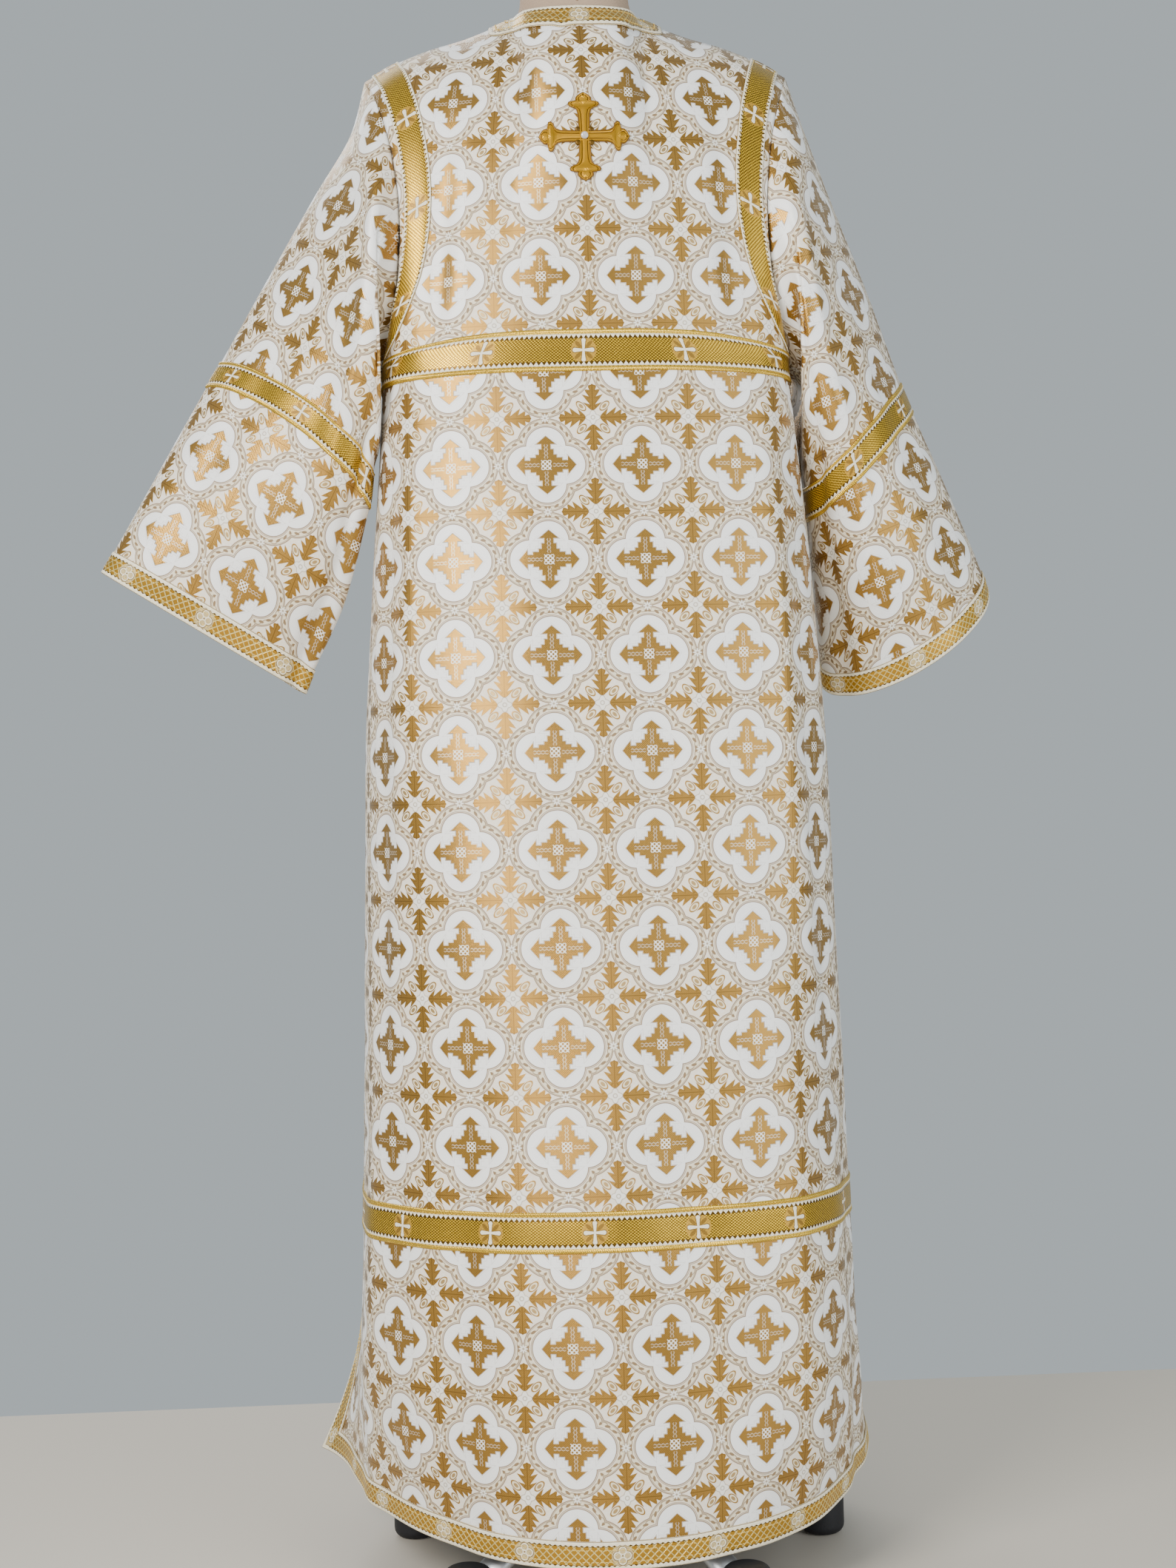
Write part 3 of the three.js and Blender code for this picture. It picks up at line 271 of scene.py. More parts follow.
def square_section(seam, middle, crown, square, flare=0.0):
    """A rounded corner from the middle of a panel to its seam."""
    angle = np.linspace(0, math.pi / 2, 121)
    out = np.sin(angle) ** (2 / square)
    deep = np.clip(np.cos(angle), 0, 1) ** (2 / square)
    fall = np.sign(middle[1] - seam[1]) * crown * out * out
    y = seam[1] + (middle[1] - fall - seam[1]) * deep
    z = middle[2] + (seam[2] - middle[2]) * out ** 3
    return np.stack([seam[0] * out + flare * np.clip(1 - deep / HEM_FLARE["reach"], 0, 1) ** 2, y, z], axis=-1)


def half_section(face, side, up):
    """Half a panel's outline at a level, from its middle to its seam."""
    is_back = face == "back"
    if up <= 1:
        height = HEM_HEIGHT + (UNDERARM_HEIGHT - HEM_HEIGHT) * up
        value = {key: float(look(SECTIONS, SECTION_KEYS, key, height)) for key in SECTION_KEYS}
        opened = 0 if is_back else VENT_SPREAD * min(max((VENT_TOP - height) / (VENT_TOP - HEM_HEIGHT), 0), 1) ** 2
        rise = value["rise"] * (1 if is_back else 0.5)
        seam = (value[side] - opened, value["seam"] - opened * 0.4, height + rise)
        crown = value["crown"] * (1 if is_back else 0.6)
        low = min(max((HEM_FLARE["top"] - height) / (HEM_FLARE["top"] - HEM_HEIGHT), 0), 1)
        flare = HEM_FLARE[side] * low ** 1.5 if is_back else 0.0
        return square_section(seam, (0, value[face], height), crown, value["square"], flare)
    t = up - 1
    seam = np.array([look(ARMHOLE, ARMHOLE_KEYS, key, t) for key in ("side", face, "height")])
    middle = np.array([0, look(CENTRES, CENTRE_KEYS, face, t), look(CENTRES, CENTRE_KEYS, face + "_height", t)])
    low_crown = SECTIONS[-1][SECTION_KEYS.index("crown")]
    crown = low_crown + (UPPER_CROWN - low_crown) * min(t / 0.3, 1)
    section = square_section(seam, middle, crown, UPPER_SQUARE)
    edge = TOP_EDGE[face]
    share = np.linspace(0, 1, 121)
    blend = t ** SHOULDER_BLEND
    high = resample(edge, share) + (middle - edge[0]) * (1 - share[:, None]) + (seam - edge[-1]) * share[:, None]
    return resample(section, share) * (1 - blend) + high * blend


class Surface:
    """A dense grid of points with normals and cloth coordinates, read at any (u, v)."""

    def __init__(self, us, vs, points, cloth, ring=False, flip=False):
        self.us, self.vs, self.points, self.cloth = us, vs, points, cloth
        self.ring, self.flip = ring, flip
        self.settle()

    def settle(self):
        along_u = np.gradient(self.points, axis=1)
        if self.ring:
            along_u[:, 0] = along_u[:, -1] = (self.points[:, 1] - self.points[:, -2]) / 2
        normals = unit(np.cross(along_u, np.gradient(self.points, axis=0)))
        self.normals = -normals if self.flip else normals

    def read(self, values, u, v):
        u, v = np.broadcast_arrays(np.asarray(u, float), np.asarray(v, float))
        x = np.interp(u, self.us, np.arange(len(self.us)))
        y = np.interp(v, self.vs, np.arange(len(self.vs)))
        i = np.clip(x.astype(int), 0, len(self.us) - 2)
        j = np.clip(y.astype(int), 0, len(self.vs) - 2)
        x, y = (x - i)[..., None], (y - j)[..., None]
        low = values[j, i] * (1 - x) + values[j, i + 1] * x
        high = values[j + 1, i] * (1 - x) + values[j + 1, i + 1] * x
        return low * (1 - y) + high * y

    def at(self, u, v):
        return self.read(self.points, u, v), unit(self.read(self.normals, u, v)), self.read(self.cloth, u, v)


def ridge(x, centre, width):
    return np.exp(-((x - centre) / width) ** 2)


MIDDLE = 160  # the body grid's column at the centre of a panel
UNDERARM_ROW = 260  # its row at the underarm


def body_surface(face):
    """One panel's outer face with its folds."""
    us = np.linspace(-1, 1, 2 * MIDDLE + 1)
    vs = np.concatenate([np.linspace(0, 1, UNDERARM_ROW + 1)[:-1], np.linspace(1, 2, 181)])
    rows, across, centre = [], [], []
    for v in vs:
        left, right = half_section(face, "left", v), half_section(face, "right", v)
        right = resample(right, np.linspace(0, 1, MIDDLE + 1))
        rows.append(np.vstack([(right * (-1, 1, 1))[:0:-1], resample(left, np.linspace(0, 1, MIDDLE + 1))]))
        across.append(np.interp(us, [-1, 0, 1], [-lengths(right)[-1], 0, lengths(left)[-1]]))
        centre.append(left[0])
    points, across = np.array(rows), np.array(across)
    run = lengths(np.array(centre))
    top = centre[-1][2]
    grain = np.interp(points[..., 2], np.array(centre)[:, 2], run) + np.maximum(points[..., 2] - top, 0)
    surface = Surface(us, vs, points, np.stack([across, grain], axis=-1), flip=face == "back")
    heights = points[..., 2]
    lift = np.zeros_like(heights)
    for owner, top_x, foot_x, top, foot, width, depth in CREASES:
        if owner == face:
            share = (top - heights) / (top - foot)
            middle = top_x + (foot_x - top_x) * np.clip(share, -0.2, 1.2)
            middle = middle + 0.12 * width * np.sin(heights / 41 + top_x)
            window = smooth((share + 0.08) / 0.4) * smooth((1.3 - share) / 0.4)
            lift += depth * window * ridge(across, middle, width * (1 + 0.2 * np.sin(heights / 67 + foot_x)))
    lift += 0.5 * np.sin(across / 23 + np.sin(heights / 90) * 2) * np.sin(heights / 120 + 1)
    edge = smooth((1 - np.abs(us)) / 0.07)[None, :] * smooth((2 - vs) / 0.05)[:, None]
    surface.points = surface.points + surface.normals * (lift * edge)[..., None]
    surface.settle()
    return surface


def sleeve_surface(side, body):
    """One sleeve's outer face, from the armhole to the cuff, with its folds."""
    mirror = 1 if side == "left" else -1
    heights = np.concatenate([np.linspace(1, 0, 61)[:-1], np.linspace(0, 1, 61)])
    back, _, _ = body["back"].at(mirror, 1 + heights[:61])
    front, _, _ = body["front"].at(mirror, 1 + heights[61:])
    starts = np.vstack([back, front]) * (mirror, 1, 1)
    starts[:, 0] += UNDERARM_EASE * np.clip(1 - heights / 0.17, 0, 1)
    run_back, run_front = lengths(starts[:61]), lengths(starts[60:])
    angles = np.concatenate([math.pi * run_back / run_back[-1], math.pi * (1 + run_front[1:] / run_front[-1])])
    table = {key: np.array(rows, float) for key, rows in SLEEVES[side].items()}

    def rail(key, t):
        return np.array([cubic(SLEEVE_AT, table[key][:, axis], t) for axis in range(3)])

    def ring(t):
        top, bottom = rail("top", t), rail("bottom", t)
        middle, tall = (top + bottom) / 2, (top - bottom) / 2
        sides = np.where(np.sin(angles)[:, None] >= 0, rail("back", t), rail("front", t)) - middle
        return middle + tall * np.cos(angles)[:, None] + sides * np.abs(np.sin(angles))[:, None]

    offsets = starts - ring(0.0)
    vs = np.linspace(0, 1, 181)
    rows = np.array([ring(t) + offsets * (1 - smooth(t / ARMHOLE_FADE)) for t in vs])
    us = angles / (2 * math.pi)
    rows[:, -1] = rows[:, 0]
    axis = unit(np.array(SLEEVE_GRAIN[side], float))
    down = (rows - rows[0, 0]) @ axis
    aside = np.diff(rows, axis=1)
    aside = aside - (aside @ axis)[..., None] * axis
    around = np.cumsum(np.linalg.norm(aside, axis=-1), axis=1)
    around = np.concatenate([np.zeros((len(rows), 1)), around], axis=1)
    settled = np.searchsorted(vs, ARMHOLE_FADE)
    inward = np.array([axis[2], 0.0, -axis[0]])
    facing = np.clip(1.5 * np.sin(angles), -1, 1)  # 1 on the back, -1 on the front, 0 at the folds
    around[:settled] = around[settled] + facing * ((rows[:settled] - rows[settled]) @ inward)
    surface = Surface(us, vs, rows, np.stack([around, -down], axis=-1), ring=True, flip=True)
    lift = np.zeros(rows.shape[:2])
    for owner, top_u, foot_u, first, last, width, depth in SLEEVE_CREASES:
        if owner == side:
            share = (vs - first) / (last - first)
            middle = top_u + (foot_u - top_u) * np.clip(share, -0.2, 1.2) + 0.1 * width * np.sin(vs * 17 + top_u * 40)
            window = smooth((share + 0.1) / 0.3) * smooth((1.25 - share) / 0.35)
            lift += depth * window[:, None] * ridge(us[None, :], middle[:, None], width)
    lift *= smooth(vs / 0.1)[:, None]
    lift[:, -1] = lift[:, 0] = (lift[:, 0] + lift[:, -1]) / 2
    surface.points = surface.points + surface.normals * lift[..., None]
    surface.points = surface.points * (mirror, 1, 1)
    surface.flip = mirror > 0
    surface.settle()
    return surface


def up_of(height):
    """The level of a height below the underarm."""
    return (height - HEM_HEIGHT) / (UNDERARM_HEIGHT - HEM_HEIGHT)


BODY = {face: body_surface(face) for face in ("back", "front")}
SLEEVE = {side: sleeve_surface(side, BODY) for side in ("left", "right")}


# --- meshes ------------------------------------------------------------------------------------
def carry_on(corners, seam=60.0, step=8.0):
    """In cells that cross a ring's closing seam the pattern runs on past it."""
    cells = corners.reshape(-1, 4, 2)
    top = cells[..., 0].max(axis=1, keepdims=True)
    cells[..., 0] = np.where(top - cells[..., 0] > seam, top + step, cells[..., 0])
    return cells


def linked(name, data):
    """A new object in the scene."""
    item = bpy.data.objects.new(name, data)
    bpy.context.scene.collection.objects.link(item)
    return item


def worn_piece(name, mesh, replaces=()):
    """An object that rides on the one body."""
    piece = linked(name, mesh)
    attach(piece, "root")
    if replaces:
        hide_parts(*replaces)
    return piece


def made_real(item, name):
    """A mesh of an object with its modifiers applied; the object is removed."""
    bpy.context.view_layer.update()
    mesh = bpy.data.meshes.new_from_object(item.evaluated_get(bpy.context.evaluated_depsgraph_get()))
    mesh.name = name
    bpy.data.objects.remove(item)
    return mesh


def make_piece(name, points, faces, cloth=None, ring=False, material=None, slot=None, replaces=(),
               smooth_shade=True):
    """A mesh object from points in millimetres, riding on the one body."""
    mesh = bpy.data.meshes.new(name)
    mesh.from_pydata(((np.asarray(points) + SHIFT) * MM).tolist(), [], [tuple(int(i) for i in f) for f in faces])
    if cloth is not None:
        layer = mesh.uv_layers.new(name="Cloth")
        order = np.empty(len(mesh.loops), dtype=np.int32)
        mesh.loops.foreach_get("vertex_index", order)
        corners = np.asarray(cloth, np.float32)[order]
        layer.data.foreach_set("uv", (carry_on(corners) if ring else corners).ravel())
    mesh.polygons.foreach_set("use_smooth", [smooth_shade] * len(mesh.polygons))
    if material:
        mesh.materials.append(material)
    mesh.update()
    return worn_piece(name, mesh, replaces)


def shell_mesh(outer, inner, cloth, ring=False, is_open=None):
    """Points, faces and cloth coordinates of a closed wall between two grids."""
    rows, columns = outer.shape[:2]
    count = rows * columns
    i, j = np.meshgrid(np.arange(rows - 1), np.arange(columns - (0 if ring else 1)), indexing="ij")
    i, j = i.ravel(), j.ravel()
    if is_open is not None:
        keep = ~is_open[i, j]
        i, j = i[keep], j[keep]
    k = (j + 1) % columns
    a, b, c, d = i * columns + j, i * columns + k, (i + 1) * columns + k, (i + 1) * columns + j
    quads = np.stack([a, b, c, d], axis=1)
    edges = np.concatenate([quads[:, (0, 1)], quads[:, (1, 2)], quads[:, (2, 3)], quads[:, (3, 0)]])
    forward = edges[:, 0].astype(np.int64) * count + edges[:, 1]
    backward = edges[:, 1].astype(np.int64) * count + edges[:, 0]
    rim = edges[~np.isin(forward, backward)]
    sides = np.stack([rim[:, 1], rim[:, 0], rim[:, 0] + count, rim[:, 1] + count], axis=1)
    faces = np.concatenate([quads, quads[:, ::-1] + count, sides])
    points = np.concatenate([outer.reshape(-1, 3), inner.reshape(-1, 3)])
    flat = cloth.reshape(-1, 2)
    return points, faces, np.concatenate([flat, flat])


def faces_outward(points, faces):
    """True when the closed mesh encloses a positive volume."""
    p = points[faces]
    first = np.einsum("ij,ij->i", p[:, 0], np.cross(p[:, 1], p[:, 2]))
    second = np.einsum("ij,ij->i", p[:, 0], np.cross(p[:, 2], p[:, 3]))
    return (first + second).sum() > 0


def make_shell(name, outer, normals, thickness, cloth, ring=False, is_open=None, **kind):
    inner = outer - normals * thickness
    points, faces, flat = shell_mesh(outer, inner, cloth, ring, is_open)
    if not faces_outward(points, faces):
        faces = faces[:, ::-1]
    return make_piece(name, points, faces, flat, ring, **kind)


# Across a galloon: place from one edge to the other, and height above the cloth.
WIDE_PROFILE = np.array([
    (0.0, 0.5), (0.012, 1.3), (0.05, 1.9), (0.09, 1.4), (0.115, 1.0), (0.16, 1.15), (0.22, 1.3), (0.36, 1.35),
    (0.5, 1.4), (0.64, 1.35), (0.78, 1.3), (0.84, 1.15), (0.885, 1.0), (0.91, 1.4), (0.95, 1.9), (0.988, 1.3),
    (1.0, 0.5),
])
NARROW_PROFILE = np.array([
    (0.0, 0.5), (0.02, 1.15), (0.08, 1.4), (0.16, 1.2), (0.3, 1.4), (0.5, 1.45), (0.7, 1.4), (0.84, 1.2), (0.92, 1.4),
    (0.98, 1.15), (1.0, 0.5),
])


STITCH_ROW = 4  # the place in a profile where the stitching runs
TRIM_GAP = 0.3  # from the cloth to the underside of a galloon


def make_band(name, node, place, count, width, profile, material, ring=False, origin=0.5, shift=0.0):
    """A galloon: place(s, t) reads points and normals along and across it."""
    s = np.linspace(0, 1, count)
    if ring:
        s = s[:-1]
    points, normals = place(s[:, None], profile[None, :, 0])
    outer = points + normals * profile[None, :, 1:2]
    for row in (STITCH_ROW, len(profile) - 1 - STITCH_ROW):
        STITCHES.append((points + normals * (profile[None, :, 1:2] + 0.12))[:, row])
    middle = points[:, len(profile) // 2]
    run = lengths(np.vstack([middle, middle[:1]]) if ring else middle)
    along = (run[:len(s)] - run[-1] * origin - shift)[:, None]
    across = (profile[None, :, 0] - 0.5) * width
    cloth = np.stack(np.broadcast_arrays(along, across), axis=-1)
    thickness = profile[:, 1][None, :, None] - TRIM_GAP
    if ring:
        outer, normals, cloth = (np.swapaxes(a, 0, 1) for a in (outer, normals, cloth))
        thickness = np.swapaxes(thickness, 0, 1)
    return make_shell(name, outer, normals, thickness, cloth, ring, material=material, slot="galloon",
                      replaces=[node])


def turned(profile, centre, segments=48):
    """Points and faces of a turned solid; profile runs from the foot of its axis to the top."""
    angle = np.linspace(0, 2 * math.pi, segments, endpoint=False)
    rings = [(np.stack([r * np.cos(angle) + centre[0], r * np.sin(angle) + centre[1], np.full(segments, z)], axis=1))
             for r, z in profile]
    points = np.vstack(rings + [[(centre[0], centre[1], profile[0][1])], [(centre[0], centre[1], profile[-1][1])]])
    faces = []
    base, crown = len(points) - 2, len(points) - 1
    last = (len(profile) - 1) * segments
    for k in range(segments):
        n = (k + 1) % segments
        faces += [(base, n, k), (crown, last + k, last + n)]
        for row in range(len(profile) - 1):
            a = row * segments
            faces.append((a + k, a + n, a + n + segments, a + k + segments))
    return points, faces


# --- shader graphs -------------------------------------------------------------------------------
def add_node(tree, kind, inputs=(), **settings):
    """Adds a node, sets its properties and fills or links its inputs."""
    node = tree.nodes.new(kind)
    for key, value in settings.items():
        setattr(node, key, value)
    for key, value in dict(inputs).items():
        if isinstance(value, Value):
            value = value.socket
        if isinstance(value, bpy.types.NodeSocket):
            tree.links.new(value, node.inputs[key])
        else:
            node.inputs[key].default_value = value
    return node


class Value:
    """A number in a shader graph that takes ordinary arithmetic."""

    def __init__(self, tree, socket):
        self.tree, self.socket = tree, socket

    def do(self, operation, *others, clamped=False):
        inputs = dict(enumerate((self,) + others))
        node = add_node(self.tree, "ShaderNodeMath", inputs, operation=operation, use_clamp=clamped)
        return Value(self.tree, node.outputs[0])

    def __add__(self, other):
        return self.do("ADD", other)

    __radd__ = __add__

    def __sub__(self, other):
        return self.do("SUBTRACT", other)

    def __rsub__(self, other):
        return self.do("MULTIPLY_ADD", -1.0, other)

    def __mul__(self, other):
        return self.do("MULTIPLY", other)

    __rmul__ = __mul__

    def __truediv__(self, other):
        return self.do("DIVIDE", other)

    def __abs__(self):
        return self.do("ABSOLUTE")

    def low(self, other):
        return self.do("MINIMUM", other)

    def high(self, other):
        return self.do("MAXIMUM", other)

    def part(self):
        return self.do("FRACT")

    def sine(self):
        return self.do("SINE")

    def within(self, soft):
        """1 where the signed distance is negative, 0 outside, over a soft edge."""
        return self.do("MULTIPLY_ADD", -1 / soft, 0.5, clamped=True)

    def line(self, at, half, soft):
        return (abs(self - at) - half).within(soft)

    def triangle(self):
        """A zigzag from 0 to 1 and back over each unit."""
        return abs(self.part() - 0.5) * 2


def far(x, y):
    return (x * x + y * y).do("SQRT")


def blend(tree, base, colour, mask):
    """Lays a colour over another by a mask."""
    inputs = {0: mask, 6: base, 7: colour}
    return add_node(tree, "ShaderNodeMix", inputs, data_type="RGBA").outputs[2]


def new_material(name):
    material = bpy.data.materials.new(name)
    material.use_nodes = True
    tree = material.node_tree
    tree.nodes.clear()
    surface = add_node(tree, "ShaderNodeBsdfPrincipled")
    output = add_node(tree, "ShaderNodeOutputMaterial")
    tree.links.new(surface.outputs[0], output.inputs[0])
    return material, tree, surface


def plug(tree, surface, **values):
    names = {"base": "Base Color", "metal": "Metallic", "rough": "Roughness", "normal": "Normal",
             "sheen": "Sheen Weight", "ior": "IOR", "transmission": "Transmission Weight"}
    for key, value in values.items():
        socket = surface.inputs[names[key]]
        if isinstance(value, Value):
            value = value.socket
        if isinstance(value, bpy.types.NodeSocket):
            tree.links.new(value, socket)
        else:
            socket.default_value = value


def cloth_axes(tree):
    source = add_node(tree, "ShaderNodeUVMap", uv_map="Cloth")
    split = add_node(tree, "ShaderNodeSeparateXYZ", {0: source.outputs[0]})
    return Value(tree, split.outputs[0]), Value(tree, split.outputs[1])


def noise(tree, x, y, scale, detail=2.0):
    joined = add_node(tree, "ShaderNodeCombineXYZ", {0: x, 1: y})
    node = add_node(tree, "ShaderNodeTexNoise", {"Vector": joined.outputs[0], "Scale": scale, "Detail": detail})
    return Value(tree, node.outputs[0])


def bump(tree, height, distance, strength=1.0):
    inputs = {"Height": height, "Distance": distance, "Strength": strength}
    return add_node(tree, "ShaderNodeBump", inputs).outputs[0]


def brocade(name, tile, offset):
    """Crosses in quatrefoils between scroll rings, with a rosette and palmettes at the corners."""
    material, tree, surface = new_material(name)
    along, up = cloth_axes(tree)
    x, y = along / tile + offset[0], up / tile + offset[1]
    fold_x, fold_y = abs(x.part() - 0.5), abs(y.part() - 0.5)
    a, b = fold_x.high(fold_y), fold_x.low(fold_y)
    edge = 0.008
    # the cross
    arm = (b - 0.05).high(a - 0.25)
    tip = (a + b * 0.85 - 0.312).high(0.222 - a)
    step = (a - 0.112).high(b - 0.112).low((a - 0.17).high(b - 0.08))
    cross_edge = arm.low(tip).low(step)
    cross = cross_edge.within(edge)
    checker = ((x * 2 * math.pi * 22).sine() * (y * 2 * math.pi * 22).sine()).do("GREATER_THAN", -0.1)
    checks = (a - 0.052).within(edge) * checker
    zigzag = (b - 0.006 - (a * 24).triangle() * 0.012).line(0.0, 0.003, edge) * (a - 0.22).within(edge)
    zigzag = zigzag * (0.07 - a).within(edge) * 0.6
    # quatrefoil and scroll ring
    foil = far(a - 0.2, b) - 0.208
    white = foil.within(edge)
    rings = foil.line(0.0, 0.005, edge).high(foil.line(0.088, 0.005, edge)).high(foil.line(0.014, 0.003, edge))
    rings = rings.high(foil.line(0.077, 0.002, edge))
    turn_along = (b).do("ARCTAN2", a - 0.2)
    scroll = ((turn_along * 9).sine() * 0.02 + foil - 0.053)
    vine = scroll.line(0.0, 0.004, edge)
    leaves = (far(((turn_along * 2.9 + foil * 9).part() - 0.5) * 1.4, (foil - 0.046) * 26) - 0.42).within(0.1)
    in_ring = (foil - 0.082).within(edge) * (0.026 - foil).within(edge)
    outside = (0.096 - foil).within(edge)
    # corner: rosette, palmettes, little leaves
    p, q = 0.5 - a, 0.5 - b
    reach = (q - 0.075) / 0.285
    leaf_width = (reach * math.pi).sine().high(0.0).do("POWER", 0.55) * 0.09
    lobes = leaf_width * (0.42 + (q * 13 - p * 11).triangle() * 0.85)
    leaf = (p - lobes).within(edge) * (q - 0.36).within(edge) * (0.075 - q).within(edge) * outside
    vein = (p - 0.004).within(edge).high((p - lobes * 0.55).line(0.0, 0.002, edge)) * leaf
    slant, aside = (p + q) * 0.7071, (q - p) * 0.7071
    bud_edge = far((slant - 0.172) / 0.06, aside / 0.033) - 1.0
    bud = bud_edge.within(0.12)
    bud_line = bud_edge.line(0.0, 0.14, 0.12)
    petals = (p.do("ARCTAN2", q) * 4).do("COSINE") * 0.014
    rosette_edge = far(p, q) - 0.062 - petals
    rosette = rosette_edge.within(edge)
    rosette_line = rosette_edge.line(0.0, 0.004, edge).high((far(p, q) - 0.02).line(0.0, 0.004, edge))
    star_edge = far(p, b) - 0.036 - (p.do("ARCTAN2", b) * 8).do("COSINE") * 0.012
    star = star_edge.within(edge)
    star_line = star_edge.line(0.004, 0.004, edge).high((far(p, b) - 0.012).within(edge))
    sprig = noise(tree, x, y, 34.0, 3.0).do("GREATER_THAN", 0.56) * outside
    # colours
    fine = noise(tree, x, y, 9.0, 4.0)
    warm = blend(tree, tone("cream"), tone("cream_light"), fine)
    colour = blend(tree, warm, tone("sprig"), sprig * 0.5)
    colour = blend(tree, colour, tone("ring_ground"), in_ring)
    colour = blend(tree, colour, tone("outline"), (vine.high(leaves) * in_ring) * 0.9)
    colour = blend(tree, colour, tone("white"), white)
    colour = blend(tree, colour, tone("outline"), rings)
    rim = cross_edge.line(0.004, 0.002, edge).high(cross_edge.line(0.026, 0.001, edge) * 0.5)
    gold = cross.high(leaf).high(bud_line * outside)
    colour = blend(tree, colour, tone("bud"), bud * outside)
    gold = gold.high((bud_edge + 0.5).within(0.12) * outside * 0.8)
    twill = ((x + y) * 2 * math.pi * 46).sine() * 0.5 + 0.5
    gold_colour = blend(tree, tone("gold"), tone("deep"), twill * 0.45)
    colour = blend(tree, colour, gold_colour, gold)
    colour = blend(tree, colour, tone("outline"), rim * 0.8)
    pale = (checks.high(zigzag) * cross).high(rosette).high(star)
    colour = blend(tree, colour, tone("pale"), pale)
    colour = blend(tree, colour, tone("rosette_line"), rosette_line.high(star_line) * 0.8)
    colour = blend(tree, colour, tone("vein"), vein * 0.8)
    gold = (gold - pale * 0.9).high(0.0)
    rib = (up * 2 * math.pi / 0.9).sine() * 0.5 + 0.5
    relief = gold * 0.5 + white * 0.25 + rings * 0.3 + pale * 0.5 + rib * 0.14 + twill * gold * 0.3
    plug(tree, surface, base=colour, metal=gold * 0.72 + 0.05, rough=0.5 - gold * 0.17 - white * 0.06,
         normal=bump(tree, relief, 0.0005, 0.55), sheen=0.08)
    return material


def braid(name, wide):
    """A woven galloon: gold lattice, sawtooth edges and a cream motif at even steps."""
    material, tree, surface = new_material(name)
    along, across = cloth_axes(tree)
    width = WIDE_TRIM if wide else NARROW_TRIM
    pitch = 98.0 if wide else 92.0
    side = abs(across)
    from_motif = abs((along / pitch + 0.5).part() - 0.5) * pitch
    teeth = (along / 5.0).triangle()
    if wide:
        strip_from, cream_from, tooth = width * 0.5 - 4.6, width * 0.5 - 5.6, 3.4
    else:
        strip_from, cream_from, tooth = width * 0.5 - 0.1, width * 0.5 - 3.4, 1.6
    if wide:
        glint = noise(tree, along, across, 0.9, 1.0)
        threads = (along * 2 * math.pi / 3.4).sine() * (across * 2 * math.pi / 2.8).sine()
        lattice = (0.62 - threads - glint).within(0.3)
    else:
        threads = ((along + across) / 7.4).triangle().high(((along - across) / 7.4).triangle())
        lattice = (threads - 0.8).within(0.1)
    lit, dark = ("wide_lit", "wide_dark") if wide else ("narrow_lit", "narrow_dark")
    woven = blend(tree, tone(dark), tone(lit), lattice * 0.9 + 0.1)
    cream_line = side - cream_from
    cream = (0.0 - cream_line).within(0.25)
    sawtooth = (cream_from - tooth * teeth - side).within(0.25)
    pale = cream.high(sawtooth)
    colour = blend(tree, woven, tone("edge_cream"), pale)
    dark_line = (side - cream_from - (0.9 if wide else 2.9)).line(0.0, 0.3, 0.2)
    valley = (cream_from - tooth - side).within(0.3) * (side - cream_from).within(0.3)
    colour = blend(tree, colour, tone("valley"), (valley - pale).high(0.0) * 0.9)
    tooth_line = (cream_from - tooth * teeth - side).line(0.25, 0.25, 0.25) * (side - cream_from).within(0.25)
    # motif
    if wide:
        bar = far(from_motif, side)
        upright = (from_motif - 0.9 - side * 0.10).high(side - 9.6)
        beam = (side - 0.9 - from_motif * 0.14).high(from_motif - 8.6)
        ends = (far(from_motif, side - 9.2) - 2.1).low(far(from_motif - 8.4, side) - 2.1)
        motif_edge = upright.low(beam).low(ends)
        slant, aside = (from_motif + side) * 0.7071, abs(from_motif - side) * 0.7071
        rays = (far((slant - 7.6) / 4.2, aside / 1.8) - 1).within(0.15)
        field = (bar - 12.4).within(0.5) * (side - (cream_from - tooth)).within(0.3)
        colour = blend(tree, colour, tone("wide_field"), field * 0.8)
        colour = blend(tree, colour, tone("rays"), rays * field * 0.8)
    else:
        petal_a = far(from_motif - 4.6, side) - 3.8
        petal_b = far(from_motif, side - 4.6) - 3.8
        motif_edge = petal_a.low(petal_b)
        field = (far(from_motif, side) - 10.0).within(0.5)
        colour = blend(tree, colour, tone("narrow_field"), field * 0.8)
    motif = motif_edge.within(0.35) if wide else motif_edge.line(-0.6, 0.5, 0.3)
    motif_line = motif_edge.line(0.5, 0.28, 0.25) * field
    colour = blend(tree, colour, tone("motif"), motif)
    colour = blend(tree, colour, tone("motif_line"), motif_line.high(dark_line).high(tooth_line) * 0.85)
    strip = (strip_from - side).within(0.2)
    cord = (along * 2 * math.pi / 1.7 + across * 1.6).sine() * 0.5 + 0.5
    colour = blend(tree, colour, blend(tree, tone("cord_dark"), tone("cord_lit"), cord), strip)
    gold = (1.0 - (pale.high(motif)).high(field * 0.4)).high(strip)
    relief = lattice * 0.8 + motif * 0.7 + pale * 0.3 + strip * cord * 0.7
    plug(tree, surface, base=colour, metal=gold * 0.8, rough=0.46 - gold * 0.12 - strip * 0.12,
         normal=bump(tree, relief, 0.0006, 0.7))
    return material


